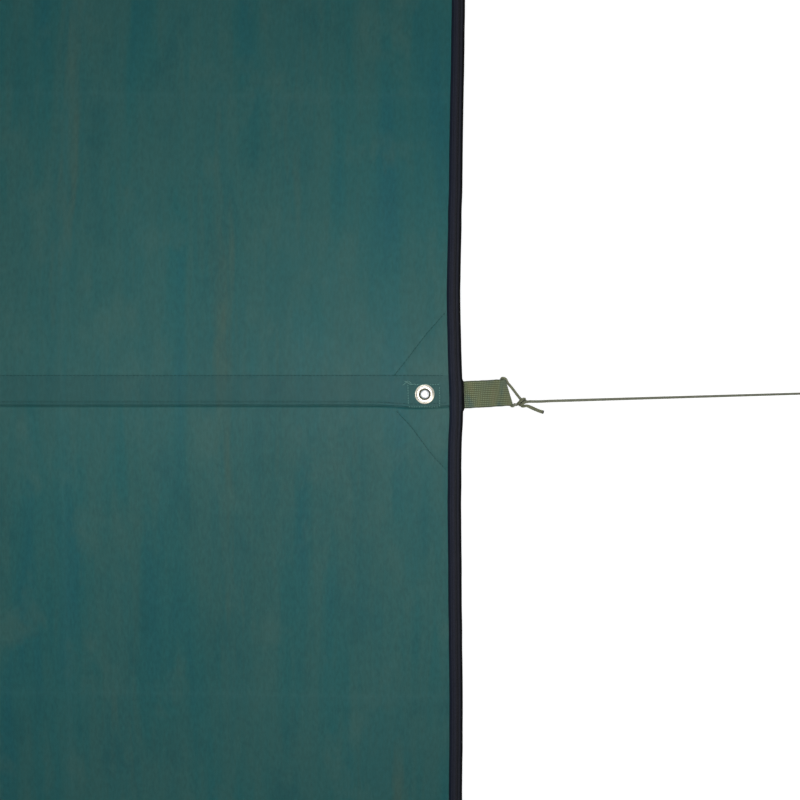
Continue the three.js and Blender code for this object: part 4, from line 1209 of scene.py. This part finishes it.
def wall_head(axis, side, us):
    """The top row of a wall, just under the roof. axis 0 is a gable wall, which runs along Y;
    axis 1 runs along X."""
    if axis == 0:
        head = on_cloth(np.full_like(us, side * GABLE_NET), us * HALF_Y / EAVE_NET)
        head[:, 1] = np.clip(head[:, 1], -EAVE_NET, EAVE_NET)
    else:
        head = on_cloth(us, np.full_like(us, side * EAVE_NET))
    head[:, 2] -= 0.0033
    return head


def wall_points(axis, side, us, head, z, doorway):
    """Points of a wall at us along it and at heights z, leaning out to its head."""
    u, top = np.broadcast_to(us, z.shape), head[:, 2]
    lean = step(np.clip(z / top, 0, 1)) ** 2
    folds = wall_folds(u, z, EAVE_NET if axis == 0 else GABLE_NET, top) * side
    if doorway:
        folds = folds * step((np.abs(u) - DOOR_HALF - 0.01) / 0.25)
    middle = side * (GABLE_NET if axis == 0 else EAVE_NET)
    plane = head[:, axis] * lean + middle * (1 - lean) + folds
    if doorway:
        flat = step((DOOR_HALF + 0.30 - np.abs(u)) / 0.25) * step((top - 0.002 - z) / 0.014)
        plane = plane * (1 - flat) + middle * flat
    return np.stack([plane, u, z] if axis == 0 else [u, plane, z], -1)


def wall_piece(name, axis, side, node):
    """A wall of netting with its cloth hems and skirt; the front one has the doorway in it."""
    half = EAVE_NET if axis == 0 else GABLE_NET
    end = half - POST
    doorway = axis == 1 and side < 0
    if doorway:
        d, frame_end = DOOR_HALF, DOOR_HALF + DOOR_FRAME
        us = spaced((-half, -end, 0.008), (-end, -frame_end, 0.016), (-frame_end, -d, 0.009), (-d, d, 0.02),
                    (d, frame_end, 0.009), (frame_end, end, 0.016), (end, half, 0.008))
    else:
        us = spaced((-half, -end, 0.008), (-end, end, 0.016), (end, half, 0.008))
    head = wall_head(axis, side, us)
    if doorway:
        beside = spaced((NET_LIFT, DOOR_FOOT, 0.009), (DOOR_FOOT, SKIRT_TOP, 0.02),
                        (SKIRT_TOP, DOOR_HEAD, 0.03))
        over = LINTEL + np.linspace(0, 1, 5)[:, None] * (head[:, 2] - LINTEL)
        z = np.vstack([np.repeat(beside[:, None], len(us), 1), over])
    else:
        share = np.concatenate([np.linspace(0, 0.075, 8), np.linspace(0.075, 0.985, 60)[1:],
                                np.linspace(0.985, 1, 4)[1:]])
        z = NET_LIFT + share[:, None] * (head[:, 2] - NET_LIFT)
    points = wall_points(axis, side, us, head, z, doorway)
    faces, slots = [], []
    cols = len(us)
    for n, face in enumerate(grid(len(z), cols)):
        i, j = n // (cols - 1), n % (cols - 1)
        u = (us[j] + us[j + 1]) / 2
        height = (z[i, j] + z[i + 1, j]) / 2
        if doorway and abs(u) < DOOR_HALF and DOOR_FOOT < height < DOOR_HEAD:
            continue
        hemmed = height < SKIRT_TOP or abs(u) > end or height > z[-1, j] - HEM
        framed = doorway and abs(u) < DOOR_HALF + DOOR_FRAME and height > DOOR_FOOT - 0.05
        faces.append(face)
        slots.append(1 if hemmed or framed else 0)
    build = Build().add(points.reshape(-1, 3), faces)
    build.slots = slots
    # The skirt's upper hem is a rolled, sewn edge.
    level = SKIRT_TOP + 0.0015
    rise = [np.array([np.interp(level, z[:, j], points[:, j, k]) for j in range(cols)]) for k in (0, 1)]
    hem = np.stack([rise[0], rise[1], np.full(cols, level)], 1)
    hem[:, axis] += side * 0.0006
    runs = [hem[us < -DOOR_HALF - 0.004], hem[us > DOOR_HALF + 0.004]] if doorway else [hem]
    for run in runs:
        tube(build, run, 0.0016, 6, slot=1)
    foot = points[0].copy()
    foot[:, 2] += 0.002
    tube(build, foot, 0.0022, 6, slot=1)
    return build.make(name, [NET, SKIRT], nodes=[node], slot="netting")


def build_walls():
    """The four walls."""
    for side, label in ENDS:
        wall = wall_piece("net_" + label, 0, side, "wall_" + label)
    for side, label in ((-1, "front"), (1, "back")):
        wall = wall_piece("net_" + label, 1, side, "wall_" + label)


# ---- door ----
WALL_FACE = -EAVE_NET - 0.0006
ZIP_FACE = WALL_FACE - 0.0003
slider_low, slider_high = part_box("door_zip_slider")
SLIDER = ((slider_low.x + slider_high.x) / 2, slider_high.y, DOOR_HEAD - 0.015)


def build_facing():
    """The strip sewn inside the doorway, which the door's edges lie against."""
    outer = [(-0.412, 0.046), (0.412, 0.046), (0.412, 1.842), (-0.412, 1.842)]
    inner = [(-0.389, 0.074), (0.386, 0.074), (0.386, 1.816), (-0.389, 1.816)]
    build = Build()
    for k in range(4):
        a, b, c, d = outer[k], outer[(k + 1) % 4], inner[k], inner[(k + 1) % 4]
        t = np.linspace(0, 1, 60)[:, None]
        rows = [np.array(a) + t * (np.array(b) - a), np.array(c) + t * (np.array(d) - c)]
        for y in (0.0014, 0.0018):
            points = np.array([(x, -EAVE_NET + y, z) for row in rows for x, z in row])
            build.add(points, grid(2, 60))
    build.make("door_facing", [SKIRT], slot="netting")


def build_door():
    """The door: netting in a cloth frame, with piping round the netting and two rows of stitches."""
    left, right, low, high = -0.3994, 0.396, 0.062, 1.828
    border, kick = 0.040, 0.10
    west, east, foot, head = left + border, right - border, low + kick, high - border
    xs = spaced((left, west, 0.01), (west, east, 0.02), (east, right, 0.01))
    zs = spaced((low, foot, 0.02), (foot, head, 0.025), (head, high, 0.01))
    x, z = np.meshgrid(xs, zs)
    free = (step((x - left - 0.01) / 0.2) * step((right - 0.01 - x) / 0.2)
            * step((z - low) / 0.2) * step((high - z) / 0.2))
    folds = 0.8 + noise(x / 0.16, z / 0.7, 61) + 0.4 * noise(x / 0.07, z / 0.4, 62)
    y = WALL_FACE + 0.0004 - free * 0.006 * folds
    build = Build().add(np.stack([x, y, z], -1), grid(len(zs), len(xs)))
    u, v = np.meshgrid((xs[1:] + xs[:-1]) / 2, (zs[1:] + zs[:-1]) / 2)
    netted = (west < u) & (u < east) & (foot < v) & (v < head)
    build.slots = np.where(netted, 0, 1).ravel().tolist()

    def on_door(corners, spacing, proud):
        path = resample([(a, 0, b) for a, b in corners], spacing)
        depth = [y[np.abs(zs - p[2]).argmin(), np.abs(xs - p[0]).argmin()] - proud for p in path]
        return np.column_stack([path[:, 0], depth, path[:, 2]])

    ring = [(west, foot), (east, foot), (east, head), (west, head), (west, foot)]
    tube(build, on_door(ring, 0.012, 0.0004), 0.0013, 6, slot=1)
    for inset in (0.006, 0.034):
        row = [(left + inset, low + inset), (left + inset, high - inset), (right - inset, high - inset),
               (right - inset, low + inset)]
        stitches(build, on_door(row, 0.01, 0.0002), (0, -1, 0), 2, 0.0034, 0.0016, 0.0003)
    door = build.make("door_net", [NET, SKIRT, BLACK_THREAD], "door", ["door_panel"], "netting")


def build_zip_track():
    """The zip's tape and coil on the doorway's edge."""
    left, right = 0.3963, 0.4103
    build = Build()
    y0, y1 = ZIP_FACE - 0.0001, ZIP_FACE - 0.0006
    zs = np.linspace(DOOR_FOOT, DOOR_HEAD, 60)
    section = [(left, y0), (left, y1), (left + 0.004, y1 - 0.0001), (right - 0.001, y1),
               (right, y1 + 0.0002), (right, y0)]
    verts = np.array([[(px, py, z) for px, py in section] for z in zs]).reshape(-1, 3)
    faces = grid(60, 6, wrap=True) + [list(range(6)), list(range(59 * 6, 60 * 6))[::-1]]
    build.add(verts, faces)
    pitch = 0.0021
    turns = int((DOOR_HEAD - DOOR_FOOT - 0.006) / pitch)
    a = np.arange(turns * 7) * 2 * math.pi / 7
    coil = np.stack([left + 0.0036 + 0.0026 * np.cos(a), y1 - 0.00052 + 0.00030 * np.sin(a),
                     DOOR_FOOT + 0.003 + pitch * a / (2 * math.pi)], 1)
    tube(build, coil, 0.00024, 4, slot=1)
    row = [(right - 0.0035, y1 - 0.0001, z) for z in np.linspace(DOOR_FOOT + 0.004, DOOR_HEAD - 0.004, 40)]
    stitches(build, row, (0, -1, 0), 2, 0.003, 0.0012, 0.00024)
    build.make("zip_tape", [ZIP_TAPE, BLACK, BLACK_THREAD], nodes=["door_zip_track"], slot="zip_tape")


def build_zip_slider():
    """The slider's body, with the arch that its pull hangs on."""
    cx, face, cz = SLIDER
    right_half = [(0.0044, -0.0075), (0.0050, -0.0035), (0.0046, 0.0), (0.0054, 0.0042),
                  (0.0050, 0.0075), (0.0018, 0.0075)]
    shield = right_half + [(0.0, 0.0058)] + [(-x, z) for x, z in right_half[::-1]]
    place = basis((1, 0, 0), (0, 0, 1), (0, -1, 0), (cx, face - 0.0012, cz))
    slider = Build().add(*plate([shield], 0.0022, 0.0006, place))
    rise = [(-0.0038, 0.0018), (-0.0038, 0.0040), (-0.0034, 0.0056), (-0.0022, 0.0060)]
    arch = [(cx + x, face - y, cz) for x, y in rise + [(-x, y) for x, y in rise[::-1]]]
    tube(slider, curve(arch, 0.0003), 0.00058, 10)
    crease(slider.make("zip_slider_body", [ZIP_METAL], "zip_slider", ["door_zip_slider"], "zip_metal"), 40)


def build_zip_pull():
    """A flat tag with a slot, on a turned eye round the slider's arch."""
    cx, face, cz = SLIDER
    y = face - 0.0060
    pull = Build()
    turn = basis((0, 1, 0), (0, 0, 1), (1, 0, 0), (cx, y, cz))
    lathe(pull, [(0.00115, -0.0025), (0.0019, -0.0025), (0.0021, -0.0022), (0.0021, 0.0022), (0.0019, 0.0025),
                 (0.00115, 0.0025)], 28, turn, closed=True)
    half = 0.0025
    tag = [(-half, -0.0017), (-half, -0.029), (-0.0019, -0.0325), (0.0, -0.034), (0.0019, -0.0325),
           (half, -0.029), (half, -0.0017)]
    slot = circle(0, -0.0285, 0.0012, 16, math.pi, 2 * math.pi) + circle(0, -0.022, 0.0012, 16, 0, math.pi)
    pull.add(*plate([tag, slot], 0.0010, 0.0003, basis((1, 0, 0), (0, 0, 1), (0, -1, 0), (cx, y, cz))))
    crease(pull.make("zip_pull_tag", [ZIP_METAL], "zip_pull", ["door_zip_pull"], "zip_metal"), 35)


def build_toggles():
    """Toggles and cord loops that hold the rolled door back."""
    for label in ("top", "bottom"):
        low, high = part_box("door_toggle_" + label)
        c = (low + high) / 2
        build = Build()
        half = (high.z - low.z) / 2
        lower = [(0.0, -half), (0.0022, -half + 0.0004), (0.0034, -half + 0.0018), (0.0039, -half + 0.004),
                 (0.0038, -0.006), (0.0030, -0.0028)]
        profile = lower + [(0.0028, 0.0)] + [(r, -z) for r, z in lower[::-1]]
        lathe(build, profile, 24, Matrix.Translation(c))
        collar = [(x, y, c.z) for x, y in circle(c.x, c.y, 0.0034, 24)]
        tube(build, collar + collar[:1], 0.0009, 8, slot=1, caps=False)
        side, face = c.x - 0.0036, WALL_FACE - 0.0018
        loop = [(side - out, face, c.z - drop) for out, drop in (
            (0.026, 0.03), (0.024, 0.075), (0.016, 0.088), (0.009, 0.074), (0.008, 0.03), (0.010, 0.006))]
        start = [(side, c.y + 0.001, c.z), (side - 0.012, WALL_FACE - 0.0022, c.z - 0.004)]
        tube(build, curve(start + loop, 0.002), 0.0009, 8, slot=1)
        tab = [(-0.006, -0.009), (0.006, -0.009), (0.006, 0.009), (-0.006, 0.009)]
        place = basis((1, 0, 0), (0, 0, 1), (0, -1, 0), (side - 0.010, WALL_FACE - 0.0009, c.z))
        build.add(*plate([tab], 0.0012, 0.0004, place), slot=2)
        build.make("toggle_bar_" + label, [BLACK, TIE, ZIP_TAPE], nodes=["door_toggle_" + label],
                   slot="toggle_plastic")


build_roof()
build_roof_stitching()
build_tapes()
for side, label in ENDS:
    build_patch(side, label)
build_stations()
build_walls()
build_facing()
build_door()
build_zip_track()
build_zip_slider()
build_zip_pull()
build_toggles()
